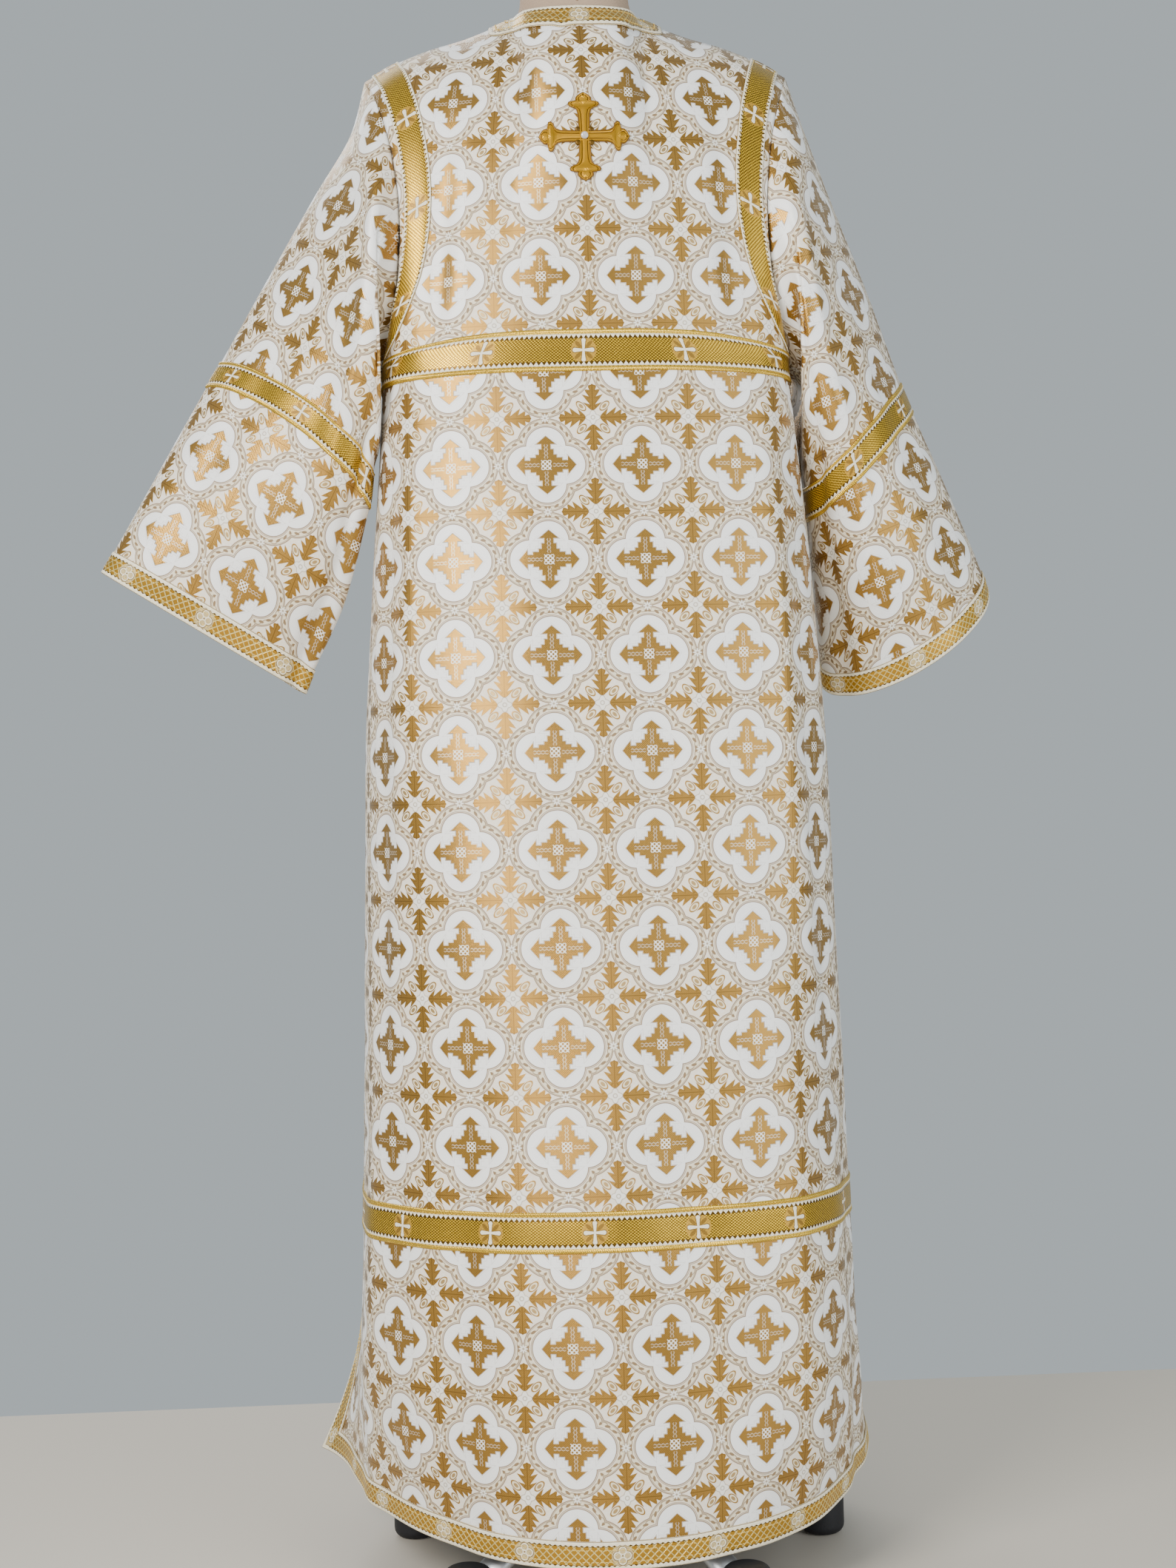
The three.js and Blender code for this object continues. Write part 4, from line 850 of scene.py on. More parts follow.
def plain(name, colour, rough, metal=0.0, grain=0.0, scale=900.0):
    """One named colour with a fine grain read from the object's own coordinates."""
    material, tree, surface = new_material(name)
    place = add_node(tree, "ShaderNodeTexCoord")
    spots = add_node(tree, "ShaderNodeTexNoise", {"Vector": place.outputs["Object"], "Scale": scale, "Detail": 3.0})
    darker = [channel * 0.72 for channel in tone(colour)[:3]] + [1.0]
    base = blend(tree, tone(colour), darker, Value(tree, spots.outputs[0]) * grain)
    plug(tree, surface, base=base, rough=rough, metal=metal,
         normal=bump(tree, spots.outputs[0], 0.0004, min(grain, 1.0)))
    return material


def linen(name):
    material, tree, surface = new_material(name)
    place = add_node(tree, "ShaderNodeTexCoord")
    split = add_node(tree, "ShaderNodeSeparateXYZ", {0: place.outputs["Object"]})
    x, z = Value(tree, split.outputs[0]), Value(tree, split.outputs[2])
    weft = (z * 2 * math.pi / 0.0011).sine()
    warp = (x * 2 * math.pi / 0.0011).sine()
    weave = (weft * warp) * 0.5 + 0.5
    slubs = noise(tree, x * 40, z * 400, 3.0, 3.0)
    colour = blend(tree, tone("linen"), tone("linen_dark"), weave * 0.35 + slubs * 0.4)
    plug(tree, surface, base=colour, rough=0.93, normal=bump(tree, weave + slubs, 0.0004, 0.5))
    return material


# --- the pieces ------------------------------------------------------------------------------------
SIDE_OF = {"left": 1, "right": -1}
SKIRT_ROW = 66  # the body grid's row at the foot of the skirt galloons
TRIM_CLEARANCE = 0.6  # from the skirt galloons to the vents' trim
MOTIF_SHIFT = {"yoke": 7.0, "skirt": 21.5}  # from the middle of a galloon to its nearest motif
PATTERN_ROW = 810.6  # the height of one row of crosses at the centre back
ARM_WIDTH = np.array([
    (0.0, 0.118), (0.25, 0.118), (0.5, 0.125), (0.6, 0.15), (0.65, 0.2), (0.69, 0.3), (0.73, 0.335), (0.775, 0.32),
    (0.79, 0.24), (0.81, 0.15), (0.85, 0.165), (0.89, 0.155), (0.94, 0.1), (1.0, 0.0),
])
SLEEVE_OFFSET = {"left": (0.85, -0.08), "right": (0.88, 0.07)}  # where the repeat starts on each sleeve
STITCHES = []  # paths that the galloons leave for their stitching


def build_panel(face, material, thickness):
    surface = BODY[face]
    us = np.linspace(-1, 1, 141)
    vs = np.concatenate([np.linspace(0, 1, 111)[:-1], np.linspace(1, 2, 61)])
    if face == "front":
        half = 1.0 / lengths(TOP_EDGE["front"])[-1]
        us = np.concatenate([us[us < -1e-9], [-half, half], us[us > 1e-9]])
    points, normals, cloth = surface.at(us[None, :], vs[:, None])
    is_open = None
    if face == "front":
        middle = int(np.searchsorted(us, 0)) - 1
        is_open = np.zeros((len(vs) - 1, len(us) - 1), bool)
        is_open[:, middle] = points[:-1, middle, 2] > points[-1, middle, 2] - NECK_SLIT
    piece = make_shell(face + "_panel", points, normals, thickness, cloth, is_open=is_open, material=material,
                       slot="brocade", replaces=[face])
    width = 2 * max(abs(surface.cloth[0, (0, -1), 0]))
    width * MM
    panel_area(points) * MM * MM
    return piece


def panel_area(points):
    """The flat area of a grid of points."""
    first = np.linalg.norm(np.cross(points[1:, :-1] - points[:-1, :-1], points[:-1, 1:] - points[:-1, :-1]), axis=-1)
    second = np.linalg.norm(np.cross(points[1:, :-1] - points[1:, 1:], points[:-1, 1:] - points[1:, 1:]), axis=-1)
    return float((first + second).sum() / 2)


def build_sleeve(side, material, thickness):
    surface = SLEEVE[side]
    us = np.linspace(0, 1, 113)[:-1]
    vs = np.linspace(0.0015, 1, 101)
    points, normals, cloth = surface.at(us[None, :], vs[:, None])
    whole = np.interp(vs, surface.vs, surface.cloth[:, -1, 0])
    cloth[..., 0] -= np.where(us[None, :] > 0.5, whole[:, None], 0)
    piece = make_shell("sleeve_" + side + "_cloth", points, normals, thickness, cloth, ring=True, material=material,
                       slot="brocade", replaces=["sleeve_" + side])
    closed = np.concatenate([points, points[:, :1]], axis=1)
    panel_area(closed) * MM * MM
    return piece


def body_band(name, node, face, low, high, material, inset, shift):
    """A wide galloon straight across a panel between two levels."""
    surface = BODY[face]
    run = surface.cloth[:, MIDDLE, 1]
    start, end = np.interp([low, high], surface.vs, run)

    def place(s, t):
        v = np.interp(start + (end - start) * t, run, surface.vs)
        return surface.at(*np.broadcast_arrays((inset - 1) + (2 - 2 * inset) * s, v))[:2]

    return make_band(name, node, place, 161, WIDE_TRIM, WIDE_PROFILE, material, shift=shift)


def edge_share(face, side, v, width):
    """The share of the half panel left inside a strip of a given width along its edge."""
    column = 0 if side == "right" else -1
    total = np.interp(v, BODY[face].vs, np.abs(BODY[face].cloth[:, column, 0]))
    return 1 - width / total


def armhole_band(side, material):
    sign = SIDE_OF[side]
    low = 1 + YOKE_BAND[1] + 0.003

    def place(s, t):
        s, t = np.broadcast_arrays(s, t)
        rise = 1 - np.abs(2 * s - 1)
        v = low + (2 - low) * rise
        out = {}
        for face in ("back", "front"):
            width = SEAM_ALLOWANCE + (WIDE_TRIM - SEAM_ALLOWANCE) * t
            u = sign * edge_share(face, side, v, width)
            out[face] = BODY[face].at(u, v)[:2]
        share = smooth((s - 0.5) / 0.012 + 0.5)[..., None]
        points = out["back"][0] * (1 - share) + out["front"][0] * share
        return points, unit(out["back"][1] * (1 - share) + out["front"][1] * share)

    name = "armhole_galloon_" + side
    return make_band(name + "_braid", name, place, 241, WIDE_TRIM - SEAM_ALLOWANCE, WIDE_PROFILE, material)


def hem_band(face, material):
    """Along the hem and up both vent edges, mitred at the corners."""
    surface = BODY[face]
    top = up_of(VENT_TRIM_TOP)
    hem = surface.cloth[0, :, 0]
    right, left = hem[0], hem[-1]
    rise = np.interp(top, surface.vs, surface.cloth[:, MIDDLE, 1])

    def place(s, t):
        s, t = np.broadcast_arrays(s, t)
        inner = NARROW_TRIM * (1 - t)
        total = 2 * rise + left - right
        run = s * total
        up_right = np.clip(rise - run, 0, None)
        up_left = np.clip(run - rise - (left - right), 0, None)
        x = np.clip(right + run - rise, right + inner, left - inner)
        y = np.maximum(np.maximum(up_right, up_left), inner)
        on_hem = (up_right <= 0) & (up_left <= 0)
        x = np.where(on_hem, x, np.where(up_right > 0, right + inner, left - inner))
        y = np.where(on_hem, inner, y)
        v = np.interp(y, surface.cloth[:, MIDDLE, 1], surface.vs)
        half_left = np.interp(v, surface.vs, surface.cloth[:, -1, 0])
        half_right = -np.interp(v, surface.vs, surface.cloth[:, 0, 0])
        u = np.where(on_hem, x / np.where(x > 0, left, -right),
                     np.where(up_left > 0, 1 - inner / half_left, -1 + inner / half_right))
        return surface.at(np.clip(u, -1, 1), v)[:2]

    name = "hem_galloon_" + face
    return make_band(name + "_braid", name, place, 361, NARROW_TRIM, NARROW_PROFILE, material)


def neck_band(material):
    """Round the neck from one side of the front slit to the other, over both shoulders."""
    slit = 1.0 / (lengths(TOP_EDGE["front"])[-1] * NECK_SHARE["front"])

    def place(s, t):
        s, t = np.broadcast_arrays(s, t)
        turn = s * 4
        rise = np.where(turn <= 1, turn, turn - 4)
        spread = {"back": np.clip(2 - turn, -1, 1),
                  "front": np.where((turn <= 1) | (turn >= 3), np.sign(rise + 1e-9) * slit + (1 - slit) * rise, 0)}
        depth = 1 - t
        out = {}
        for face in ("back", "front"):
            share = spread[face]
            drop = NECK_BAND[face] * (1 - np.abs(share) ** NECK_BAND["bend"]) ** (1 / NECK_BAND["bend"])
            inner = NECK_SHARE[face] * share
            outer = (NECK_SHARE[face] + NECK_BAND["shoulder"]) * share
            out[face] = BODY[face].at(inner + (outer - inner) * depth, 2 - drop * depth)[:2]
        on_front = (turn < 1) | (turn > 3)
        points = np.where(on_front[..., None], out["front"][0], out["back"][0])
        normals = np.where(on_front[..., None], out["front"][1], out["back"][1])
        near = 1 - smooth(np.minimum(np.abs(turn - 1), np.abs(turn - 3)) / 0.12)
        outward = 0.4 * np.sign(points[..., 0])
        ridge_normal = np.stack([outward, np.zeros_like(near), np.full_like(near, 0.92)], axis=-1)
        normals = unit(normals * (1 - near[..., None]) + ridge_normal * near[..., None])
        return points + normals * 0.5, normals

    return make_band("neck_galloon_braid", "neck_galloon", place, 321, NARROW_TRIM, NARROW_PROFILE, material)


def sleeve_band(side, low, high, name, width, profile, material):
    surface = SLEEVE[side]

    def place(s, t):
        s, t = np.broadcast_arrays(s, t)
        return surface.at((s + 0.5) % 1, low + (high - low) * t)[:2]

    return make_band(name + "_braid", name, place, 161, width, profile, material, ring=True, origin=0.75)


def arm_width(reach):
    """Half the width of one arm at shares of its length: slender, then a leaf each side, then a point."""
    return np.interp(reach, ARM_WIDTH[:, 0], ARM_WIDTH[:, 1])


def on_back(x, y):
    """Points and normals of the back at offsets from the cross's middle."""
    surface = BODY["back"]
    heights = surface.points[UNDERARM_ROW:, MIDDLE, 2]
    v = np.interp(CROSS_HEIGHT + y, heights, surface.vs[UNDERARM_ROW:])
    total = np.interp(v, surface.vs, surface.cloth[:, -1, 0])
    return surface.at(x / total, v)[:2]


def build_cross(material, thread, gem):
    reach = np.unique(np.concatenate([np.linspace(0, 1, 45), ARM_WIDTH[:, 0]]))
    share = np.array([0.0, 0.25, 0.45, 0.6, 0.72, 0.82, 0.9, 0.96, 1.0])
    share = np.concatenate([-share[:0:-1], share])
    points, faces, flat, cord = [], [], [], []
    for turn in range(4):
        cos, sin = math.cos(-turn * math.pi / 2), math.sin(-turn * math.pi / 2)
        half = arm_width(reach)[:, None]
        x = np.maximum(half, 0.012) * share * CROSS_REACH
        y = reach[:, None] * CROSS_REACH + 0 * x
        inside = np.minimum(half * CROSS_REACH - abs(x), (1 - reach[:, None]) * CROSS_REACH * 1.2)
        height = np.interp(inside, [0, 1.3, 2.5, 4.5], [0.6, 2.5, 1.2, 2.3])
        low, normals = on_back(x * cos - y * sin, x * sin + y * cos)
        upper, under = low + normals * height[..., None], low + normals * 0.5
        wall, quads, cloth = shell_mesh(upper, under, np.stack([inside, y], axis=-1))
        if not faces_outward(wall, quads):
            quads = quads[:, ::-1]
        faces.append(quads + sum(map(len, points)))
        points.append(wall)
        flat.append(cloth)
        edge = reach[reach >= arm_width(0.2)]
        side = np.stack([arm_width(edge), edge], axis=1)
        ends = np.concatenate([side * (-1, 1), side[::-1][1:]]) * CROSS_REACH
        cord.append(np.stack([ends[:, 0] * cos - ends[:, 1] * sin, ends[:, 0] * sin + ends[:, 1] * cos], axis=1))
    cross = make_piece("back_cross_applique", np.vstack(points), np.vstack(faces), np.vstack(flat), material=material,
                       slot="embroidery", replaces=["back_cross"])
    path, lift = on_back(*np.vstack(cord).T)
    cord_points, cord_faces = tube(path + lift * 1.3, 0.7, 8, closed=True)
    make_piece("back_cross_cord", cord_points, cord_faces, material=thread, slot="embroidery")
    centre, normal = on_back(np.zeros(1), np.zeros(1))
    stone_profile = [(2.6, -1.2), (3.6, -0.2), (3.2, 1.0), (1.8, 1.7)]
    stone_points, stone_faces = turned(stone_profile, (0, 0), 16)
    stone = np.stack([stone_points[:, 0], stone_points[:, 2], stone_points[:, 1]], axis=1)
    stone_faces = np.array([f[::-1] for f in stone_faces], dtype=object)
    make_piece("back_cross_stone", stone + centre + normal * 3.4, stone_faces, material=gem, slot="embroidery",
               smooth_shade=False)
    petals, petal_faces = [], []
    for turn in range(4):
        angle = (turn + 0.5) * math.pi / 2
        place, tip = on_back(np.array([math.cos(angle) * 9.2]), np.array([math.sin(angle) * 9.2]))
        petal_faces += [[i + sum(map(len, petals)) for i in f] for f in stone_faces]
        petals.append(stone * (0.8, 0.6, 0.8) + place + tip * 1.6)
    make_piece("back_cross_petals", np.vstack(petals), petal_faces, material=material, slot="embroidery")
    return cross


def tube(path, radius, sides, closed=False):
    """A tube along points; its ends are capped unless it is closed."""
    path = np.asarray(path, float)
    if closed:
        ahead = np.roll(path, -1, axis=0) - np.roll(path, 1, axis=0)
    else:
        ahead = np.gradient(path, axis=0)
    ahead = unit(ahead)
    aside = unit(np.cross(ahead, (0.11, 0.97, 0.2)))
    over = np.cross(aside, ahead)
    angle = np.linspace(0, 2 * math.pi, sides, endpoint=False)
    round_it = aside[:, None] * np.cos(angle)[None, :, None] + over[:, None] * np.sin(angle)[None, :, None]
    rings = path[:, None] + radius * round_it
    points = rings.reshape(-1, 3)
    faces = []
    count = len(path)
    for row in range(count if closed else count - 1):
        low, high = row * sides, ((row + 1) % count) * sides
        for k in range(sides):
            n = (k + 1) % sides
            faces.append((low + k, high + k, high + n, low + n))
    if not closed:
        faces += [tuple(range(sides)), tuple(range((count - 1) * sides, count * sides))[::-1]]
    return points, faces


def stitch_row(name, paths, material, pitch=4.2, length=2.3, thick=0.42):
    """Small threads along paths, laid by a node group and then made real."""
    points, edges = [], []
    for path in paths:
        start = len(points)
        points += [tuple(p) for p in (np.asarray(path) + SHIFT) * MM]
        edges += [(start + k, start + k + 1) for k in range(len(path) - 1)]
    rail_mesh = bpy.data.meshes.new(name + "_rail")
    rail_mesh.from_pydata(points, edges, [])
    rail = linked(name + "_rail", rail_mesh)
    group = bpy.data.node_groups.new(name + "_nodes", "GeometryNodeTree")
    group.interface.new_socket("Geometry", in_out="INPUT", socket_type="NodeSocketGeometry")
    group.interface.new_socket("Geometry", in_out="OUTPUT", socket_type="NodeSocketGeometry")
    entry = add_node(group, "NodeGroupInput")
    line = add_node(group, "GeometryNodeMeshToCurve", {"Mesh": entry.outputs[0]})
    spacing = {"Curve": line.outputs[0], "Length": pitch * MM}
    spots = add_node(group, "GeometryNodeCurveToPoints", spacing, mode="LENGTH")
    bead = add_node(group, "GeometryNodeMeshCylinder", {"Vertices": 6, "Radius": thick * MM, "Depth": length * MM})
    laid = add_node(group, "GeometryNodeInstanceOnPoints",
                    {"Points": spots.outputs["Points"], "Instance": bead.outputs[0],
                     "Rotation": spots.outputs["Rotation"]})
    real = add_node(group, "GeometryNodeRealizeInstances", {0: laid.outputs[0]})
    dressed = add_node(group, "GeometryNodeSetMaterial", {"Geometry": real.outputs[0]})
    dressed.inputs["Material"].default_value = material
    leave = add_node(group, "NodeGroupOutput", {0: dressed.outputs[0]})
    assert leave.inputs[0].is_linked
    modifier = rail.modifiers.new("Stitches", "NODES")
    modifier.node_group = group
    made = made_real(rail, name)
    bpy.data.node_groups.remove(group)
    return worn_piece(name, made)


def build_form(material, thread):
    """The form's own shape, made smooth, with the seam up the back of its neck."""
    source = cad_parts["dress_form"]
    work = bmesh.new()
    work.from_mesh(source.data)
    bmesh.ops.remove_doubles(work, verts=work.verts, dist=0.00002)
    mesh = bpy.data.meshes.new("form_work")
    work.to_mesh(mesh)
    work.free()
    helper = linked("form_work", mesh)
    modifier = helper.modifiers.new("Smooth", "SUBSURF")
    modifier.levels = modifier.render_levels = 1
    made = made_real(helper, "form")
    made.materials.clear()
    made.materials.append(material)
    made.polygons.foreach_set("use_smooth", [True] * len(made.polygons))
    form = worn_piece("form", made, ["dress_form"])
    seams = (("form_seam_back", 1, (54.4, 54.8, 50.8, 48.8)), ("form_seam_front", -1, (54.4, 54.9, 57.0, 57.0)))
    for name, sign, depths in seams:
        line = [(0, sign * y, z) for y, z in zip(depths, (1557, 1566, 1592, 1611))]
        points, faces = tube(curve(line, 24), 0.8, 8)
        make_piece(name, points, faces, material=thread, slot="linen")
    return form


def build_stand(steel, rubber):
    cap = NECK_CAP
    low, high = cap["bottom"], cap["bottom"] + cap["height"] - 0.3
    bow = np.linspace(0, math.pi / 2, 6)
    edge = [(cap["radius"] - cap["edge"] * (1 - math.cos(a)), high - cap["edge"] * (1 - math.sin(a))) for a in bow]
    foot_edge = [(cap["radius"] - 1.0, low), (cap["radius"], low + 1.0)]
    points, faces = turned(foot_edge + edge + [(6.0, high), (5.0, high - 1.4)], (0, cap["depth"]), 64)
    make_piece("neck_plate", points, faces, material=steel, slot="steel", replaces=["neck_cap"])
    points, faces = turned([(POLE["radius"], POLE["low"]), (POLE["radius"], POLE["high"])], STAND_AXIS)
    make_piece("pole_tube", points, faces, material=steel, slot="steel", replaces=["pole"])
    h = HUB
    profile = [(h["radius"] - 2, h["bottom"]), (h["radius"], h["bottom"] + 2), (h["radius"], h["top"] - 3),
               (h["radius"] - 3, h["top"]), (h["collar"] + 2, h["top"]), (h["collar"], h["top"] + 2),
               (h["collar"], h["collar_top"] - 2), (h["collar"] - 2, h["collar_top"])]
    points, faces = turned(profile, STAND_AXIS)
    make_piece("hub", points, faces, material=steel, slot="steel", replaces=["base_hub"])
    for k in range(LEG["count"]):
        angle = math.radians(LEG["first"] + 360 / LEG["count"] * k)
        out = np.array([math.cos(angle), math.sin(angle), 0])
        over = np.array([-out[1], out[0], 0])
        ends = [(h["radius"] + 0.3, LEG["start"]), (FOOT["reach"] - FOOT["radius"] - 0.3, LEG["end"])]
        sides = np.linspace(0, 2 * math.pi, 28, endpoint=False)[:, None]
        rings = []
        for share in np.linspace(0, 1, 5):
            reach, height = (ends[0][i] * (1 - share) + ends[1][i] * share for i in (0, 1))
            centre = out * reach + (STAND_AXIS[0], STAND_AXIS[1], height)
            upright = np.array([0, 0, 1]) * np.sin(sides) * LEG["depth"] / 2
            rings.append(centre + over * np.cos(sides) * LEG["width"] / 2 + upright)
        points = np.vstack(rings)
        faces = [(r * 28 + i, r * 28 + (i + 1) % 28, (r + 1) * 28 + (i + 1) % 28, (r + 1) * 28 + i)
                 for r in range(4) for i in range(28)]
        faces += [tuple(range(28))[::-1], tuple(range(112, 140))]
        make_piece(f"leg_tube_{k + 1}", points, faces, material=steel, slot="steel", replaces=[f"leg_{k + 1}"])
        bow = np.linspace(0, math.pi / 2, 7)
        r, n, top = FOOT["radius"], FOOT["round"], FOOT["height"]
        lower = [(r - n + n * math.sin(a), n - n * math.cos(a)) for a in bow]
        upper = [(r - n + n * math.cos(a), top - n + n * math.sin(a)) for a in bow]
        centre = (FOOT["reach"] * out[0], STAND_AXIS[1] + FOOT["reach"] * out[1])
        points, faces = turned(lower + upper, centre, 40)
        make_piece(f"foot_pad_{k + 1}", points, faces, material=rubber, slot="rubber", replaces=[f"foot_{k + 1}"])


# --- the add-on ---------------------------------------------------------------------------------------
class SticharionSizes(bpy.types.PropertyGroup):
    """Sizes that a user would change."""

    tile: bpy.props.FloatProperty(name="Pattern repeat", description="Width of one repeat of the brocade",
                                  default=0.092, min=0.04, max=0.2, unit="LENGTH")
    cloth: bpy.props.FloatProperty(name="Cloth thickness", description="Brocade with its lining",
                                   default=0.0016, min=0.001, max=0.003, unit="LENGTH")
    stitch: bpy.props.FloatProperty(name="Stitch pitch", description="Distance from stitch to stitch",
                                    default=0.0042, min=0.002, max=0.01, unit="LENGTH")
    floor: bpy.props.FloatProperty(name="Floor size", description="Width of the floor",
                                   default=7.0, min=2.0, max=20.0, unit="LENGTH")


class SticharionColours(bpy.types.PropertyGroup):
    """Colours that a user would change."""

    floor: bpy.props.FloatVectorProperty(name="Floor", description="Colour of the floor", size=4, subtype="COLOR",
                                         default=tone("floor"), min=0.0, max=1.0)
    wall: bpy.props.FloatVectorProperty(name="Surroundings", description="Colour of the room's light", size=4,
                                        subtype="COLOR", default=tone("wall"), min=0.0, max=1.0)


class PieceOperator:
    """What every piece's operator shares."""

    bl_options = {"REGISTER", "UNDO"}

    def execute(self, context):
        self.build(context.scene.sticharion_sizes, context.scene.sticharion_colours)
        return {"FINISHED"}


class SticharionPanels(PieceOperator, bpy.types.Operator):
    """Build the back and the front of brocade"""

    bl_idname = "sticharion.panels"
    bl_label = "Back and front"

    def build(self, sizes, colours):
        tile = sizes.tile / MM
        back = BODY["back"]
        row = np.interp(PATTERN_ROW, back.points[:, MIDDLE, 2], back.cloth[:, MIDDLE, 1])
        offset = 0.5 - float(row) / tile
        for face in ("back", "front"):
            build_panel(face, brocade(face + "_brocade", tile, (0.0, offset)), sizes.cloth / MM)


class SticharionSleeves(PieceOperator, bpy.types.Operator):
    """Build both sleeves of brocade"""

    bl_idname = "sticharion.sleeves"
    bl_label = "Sleeves"

    def build(self, sizes, colours):
        tile = sizes.tile / MM
        for side in ("left", "right"):
            material = brocade(side + "_sleeve_brocade", tile, SLEEVE_OFFSET[side])
            build_sleeve(side, material, sizes.cloth / MM)


class SticharionGalloons(PieceOperator, bpy.types.Operator):
    """Build the wide and the narrow galloons"""

    bl_idname = "sticharion.galloons"
    bl_label = "Galloons"

    def build(self, sizes, colours):
        wide, narrow = braid("wide_braid", True), braid("narrow_braid", False)
        for face in ("back", "front"):
            share = SEAM_ALLOWANCE / abs(BODY[face].cloth[UNDERARM_ROW + 1, 0, 0])
            body_band(f"yoke_galloon_{face}_braid", f"yoke_galloon_{face}", face, up_of(YOKE_BAND[0]),
                      1 + YOKE_BAND[1], wide, share, MOTIF_SHIFT["yoke"])
            vent = (NARROW_TRIM + TRIM_CLEARANCE) / abs(BODY[face].cloth[SKIRT_ROW, 0, 0])
            body_band(f"skirt_galloon_{face}_braid", f"skirt_galloon_{face}", face, up_of(SKIRT_BAND[0]),
                      up_of(SKIRT_BAND[1]), wide, vent, MOTIF_SHIFT["skirt"])
            hem_band(face, narrow)
        for side in ("left", "right"):
            armhole_band(side, wide)
            sleeve_band(side, *SLEEVE_BAND, "sleeve_galloon_" + side, WIDE_TRIM, WIDE_PROFILE, wide)
            sleeve_band(side, CUFF_BAND, 1.0, "cuff_galloon_" + side, NARROW_TRIM, NARROW_PROFILE, narrow)
        neck_band(narrow)


class SticharionStitches(PieceOperator, bpy.types.Operator):
    """Sew the galloons down with rows of small stitches"""

    bl_idname = "sticharion.stitches"
    bl_label = "Stitches"

    def build(self, sizes, colours):
        thread = plain("thread", "thread", 0.5, 0.2, 0.4)
        stitch_row("stitches", STITCHES, thread, pitch=sizes.stitch / MM)


class SticharionCross(PieceOperator, bpy.types.Operator):
    """Build the cross sewn on the back"""

    bl_idname = "sticharion.cross"
    bl_label = "Cross"

    def build(self, sizes, colours):
        material, tree, surface = new_material("cross_thread")
        inside, along = cloth_axes(tree)
        run = ((along + inside * 0.7) * 2 * math.pi / 1.1).sine() * 0.5 + 0.5
        colour = blend(tree, tone("cross_dark"), tone("cross_lit"), run)
        # painted shade: the groove between the raised rim and the middle of each arm, and the low outer edge, are
        # darkened in the colour
        groove_shade = inside.line(2.6, 0.5, 0.5).high((inside - 0.6).within(0.3))
        colour = blend(tree, colour, tone("groove_shade"), groove_shade * 0.9)
        plug(tree, surface, base=colour, metal=0.65, rough=0.36, normal=bump(tree, run, 0.0005, 0.8))
        gem, gem_tree, gem_surface = new_material("clear_stone")
        plug(gem_tree, gem_surface, base=tone("stone"), rough=0.04, ior=1.7, transmission=0.55)
        build_cross(material, plain("cross_cord", "cross_cord", 0.4, 0.5, 0.5), gem)


class SticharionForm(PieceOperator, bpy.types.Operator):
    """Build the linen dress form"""

    bl_idname = "sticharion.form"
    bl_label = "Dress form"

    def build(self, sizes, colours):
        build_form(linen("linen"), plain("linen_seam", "linen_dark", 0.9, 0.0, 0.5))


class SticharionStand(PieceOperator, bpy.types.Operator):
    """Build the neck plate, pole, hub, legs and feet"""

    bl_idname = "sticharion.stand"
    bl_label = "Stand"

    def build(self, sizes, colours):
        build_stand(plain("satin_steel", "steel", 0.34, 0.85, 0.15, 400.0),
                    plain("black_rubber", "rubber", 0.62, 0.0, 0.4))


class SticharionCloth(PieceOperator, bpy.types.Operator):
    """An operator that builds nothing"""

    bl_idname = "sticharion.cloth"
    bl_label = "Cuts"

    def build(self, sizes, colours):
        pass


def add_area(name, place, aim, size, power, colour=(1.0, 1.0, 1.0)):
    lamp = bpy.data.lights.new(name, "AREA")
    lamp.size, lamp.energy, lamp.color = size, power, colour
    light = linked(name, lamp)
    light.location = place
    away = np.array(place) - np.array(aim)
    light.rotation_euler = (math.atan2(math.hypot(away[0], away[1]), away[2]), 0, math.atan2(away[0], -away[1]))
    return light


FLOOR_BEHIND = 0.6  # from the stand to the wall, in metres
CAMERA = {"distance": 2330, "height": 780, "turn": 3.2, "offset": 7, "roll": -1.53, "view": 37.72}


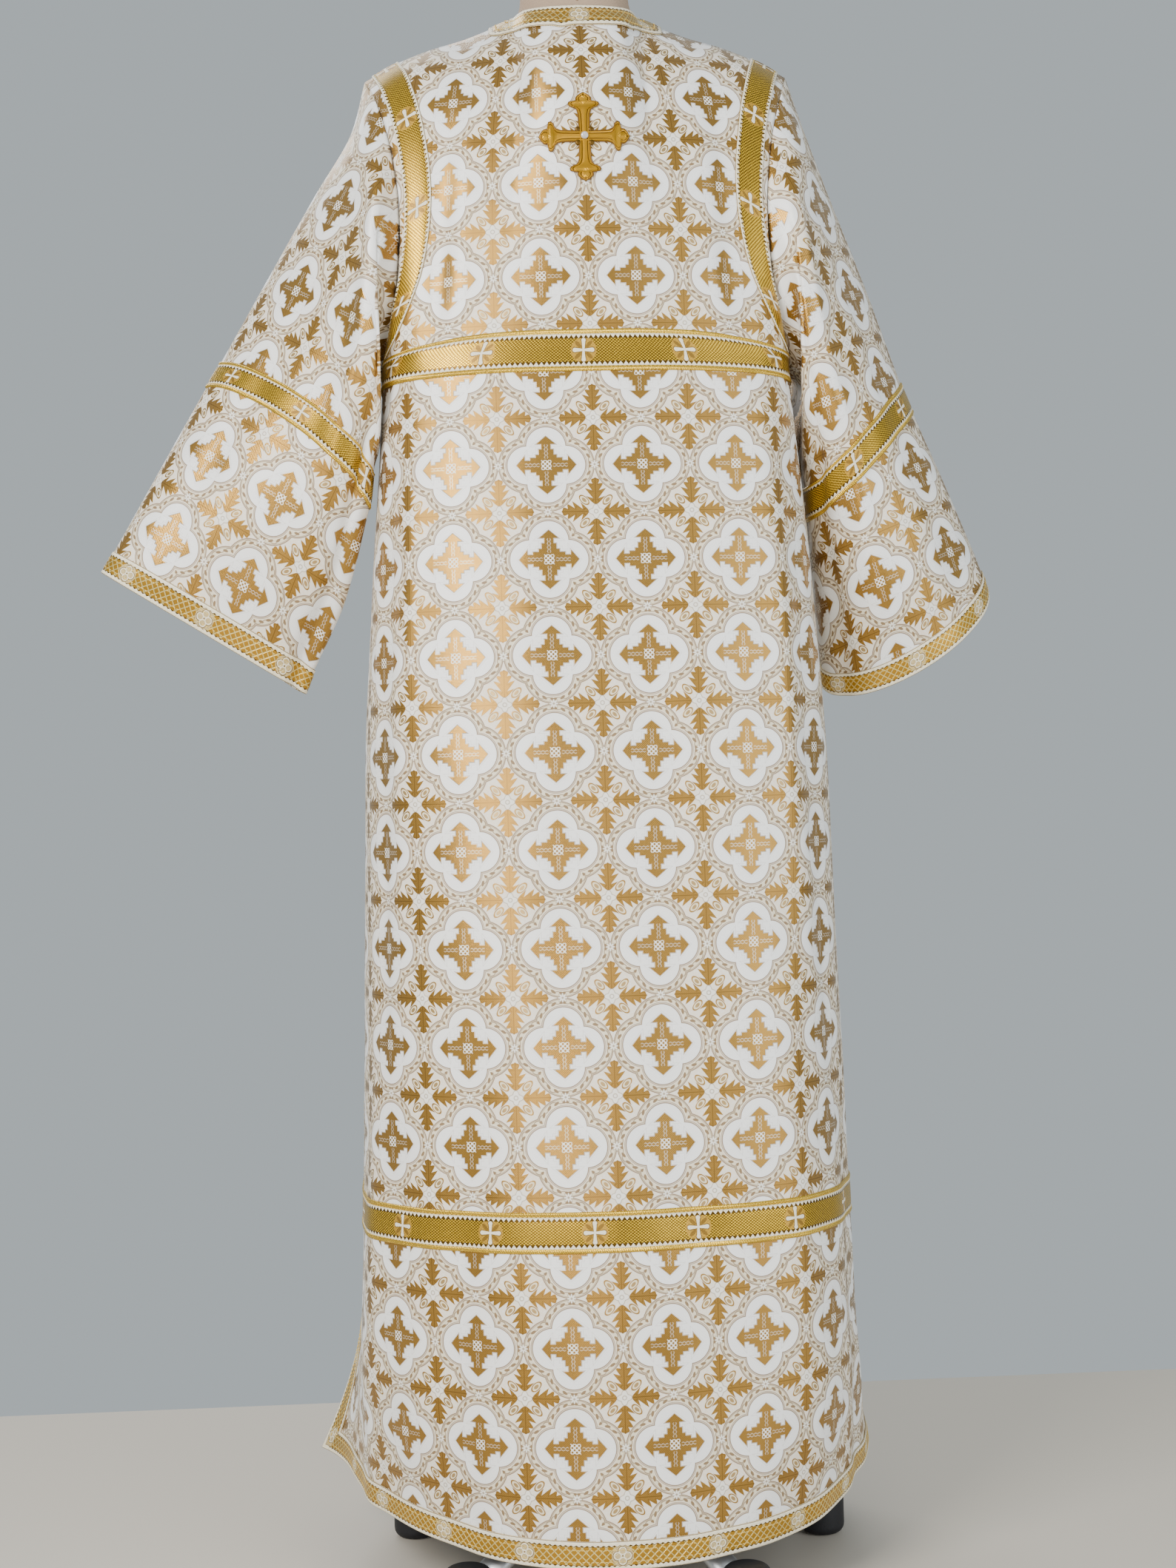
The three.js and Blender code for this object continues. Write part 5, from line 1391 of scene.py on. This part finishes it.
class SticharionStage(PieceOperator, bpy.types.Operator):
    """Set the floor, the lights and the camera"""

    bl_idname = "sticharion.stage"
    bl_label = "Stage"

    def build(self, sizes, colours):
        scene = bpy.context.scene
        half = sizes.floor / 2
        mesh = bpy.data.meshes.new("floor")
        ahead = sizes.floor - FLOOR_BEHIND
        corners = [(-half, -FLOOR_BEHIND, 0), (half, -FLOOR_BEHIND, 0), (half, ahead, 0), (-half, ahead, 0)]
        mesh.from_pydata(corners, [], [(0, 1, 2, 3)])
        floor = linked("floor", mesh)
        material, tree, surface = new_material("floor")
        plug(tree, surface, base=list(colours.floor), rough=0.6)
        mesh.materials.append(material)
        world = bpy.data.worlds.new("room")
        world.use_nodes = True
        background = world.node_tree.nodes["Background"]
        background.inputs[0].default_value = list(colours.wall)
        background.inputs[1].default_value = 0.85
        scene.world = world
        middle = (SHIFT[0] * MM, SHIFT[1] * MM, 0.9)
        add_area("key", (1.7, 2.3, 2.3), middle, 1.3, 112, (1.0, 0.97, 0.93))
        add_area("fill", (-2.0, 2.0, 1.2), middle, 2.2, 48, (0.93, 0.97, 1.0))
        add_area("low", (0.5, 2.3, 0.9), (middle[0], middle[1], 0.2), 0.9, 20, (1.0, 0.96, 0.9))
        add_area("back_light", (0.6, -2.2, 2.4), middle, 1.8, 46)
        data = bpy.data.cameras.new("camera")
        data.sensor_fit = "VERTICAL"
        data.angle = math.radians(CAMERA["view"])
        camera = linked("camera", data)
        turn = math.radians(CAMERA["turn"])
        aim = turn - CAMERA["offset"] / CAMERA["distance"]
        place = SHIFT + np.array([math.sin(turn), math.cos(turn), 0]) * CAMERA["distance"]
        matrix = Matrix.Translation((place[0] * MM, place[1] * MM, CAMERA["height"] * MM))
        matrix = matrix @ Matrix.Rotation(math.pi - aim, 4, "Z") @ Matrix.Rotation(math.pi / 2, 4, "X")
        camera.matrix_world = matrix @ Matrix.Rotation(math.radians(CAMERA["roll"]), 4, "Z")
        scene.camera = camera


OPERATORS = (
    SticharionStage, SticharionPanels, SticharionSleeves, SticharionGalloons, SticharionStitches, SticharionCross,
    SticharionForm, SticharionStand, SticharionCloth,
)


class SticharionSidebar(bpy.types.Panel):
    """Lists the operators in the 3D view's sidebar"""

    bl_idname = "VIEW3D_PT_sticharion"
    bl_label = "Sticharion"
    bl_space_type = "VIEW_3D"
    bl_region_type = "UI"
    bl_category = "Sticharion"

    def draw(self, context):
        for group in (context.scene.sticharion_sizes, context.scene.sticharion_colours):
            for name in group.__annotations__:
                self.layout.prop(group, name)
        for operator in OPERATORS:
            self.layout.operator(operator.bl_idname)


CLASSES = (SticharionSizes, SticharionColours) + OPERATORS + (SticharionSidebar,)


def register():
    for cls in CLASSES:
        bpy.utils.register_class(cls)
    bpy.types.Scene.sticharion_sizes = bpy.props.PointerProperty(type=SticharionSizes)
    bpy.types.Scene.sticharion_colours = bpy.props.PointerProperty(type=SticharionColours)


def unregister():
    del bpy.types.Scene.sticharion_colours
    del bpy.types.Scene.sticharion_sizes
    for cls in reversed(CLASSES):
        bpy.utils.unregister_class(cls)


def main():
    register()
    for operator in OPERATORS:
        group, name = operator.bl_idname.split(".")
        getattr(getattr(bpy.ops, group), name)()
    bpy.context.view_layer.update()


if __name__ == "__main__":
    main()
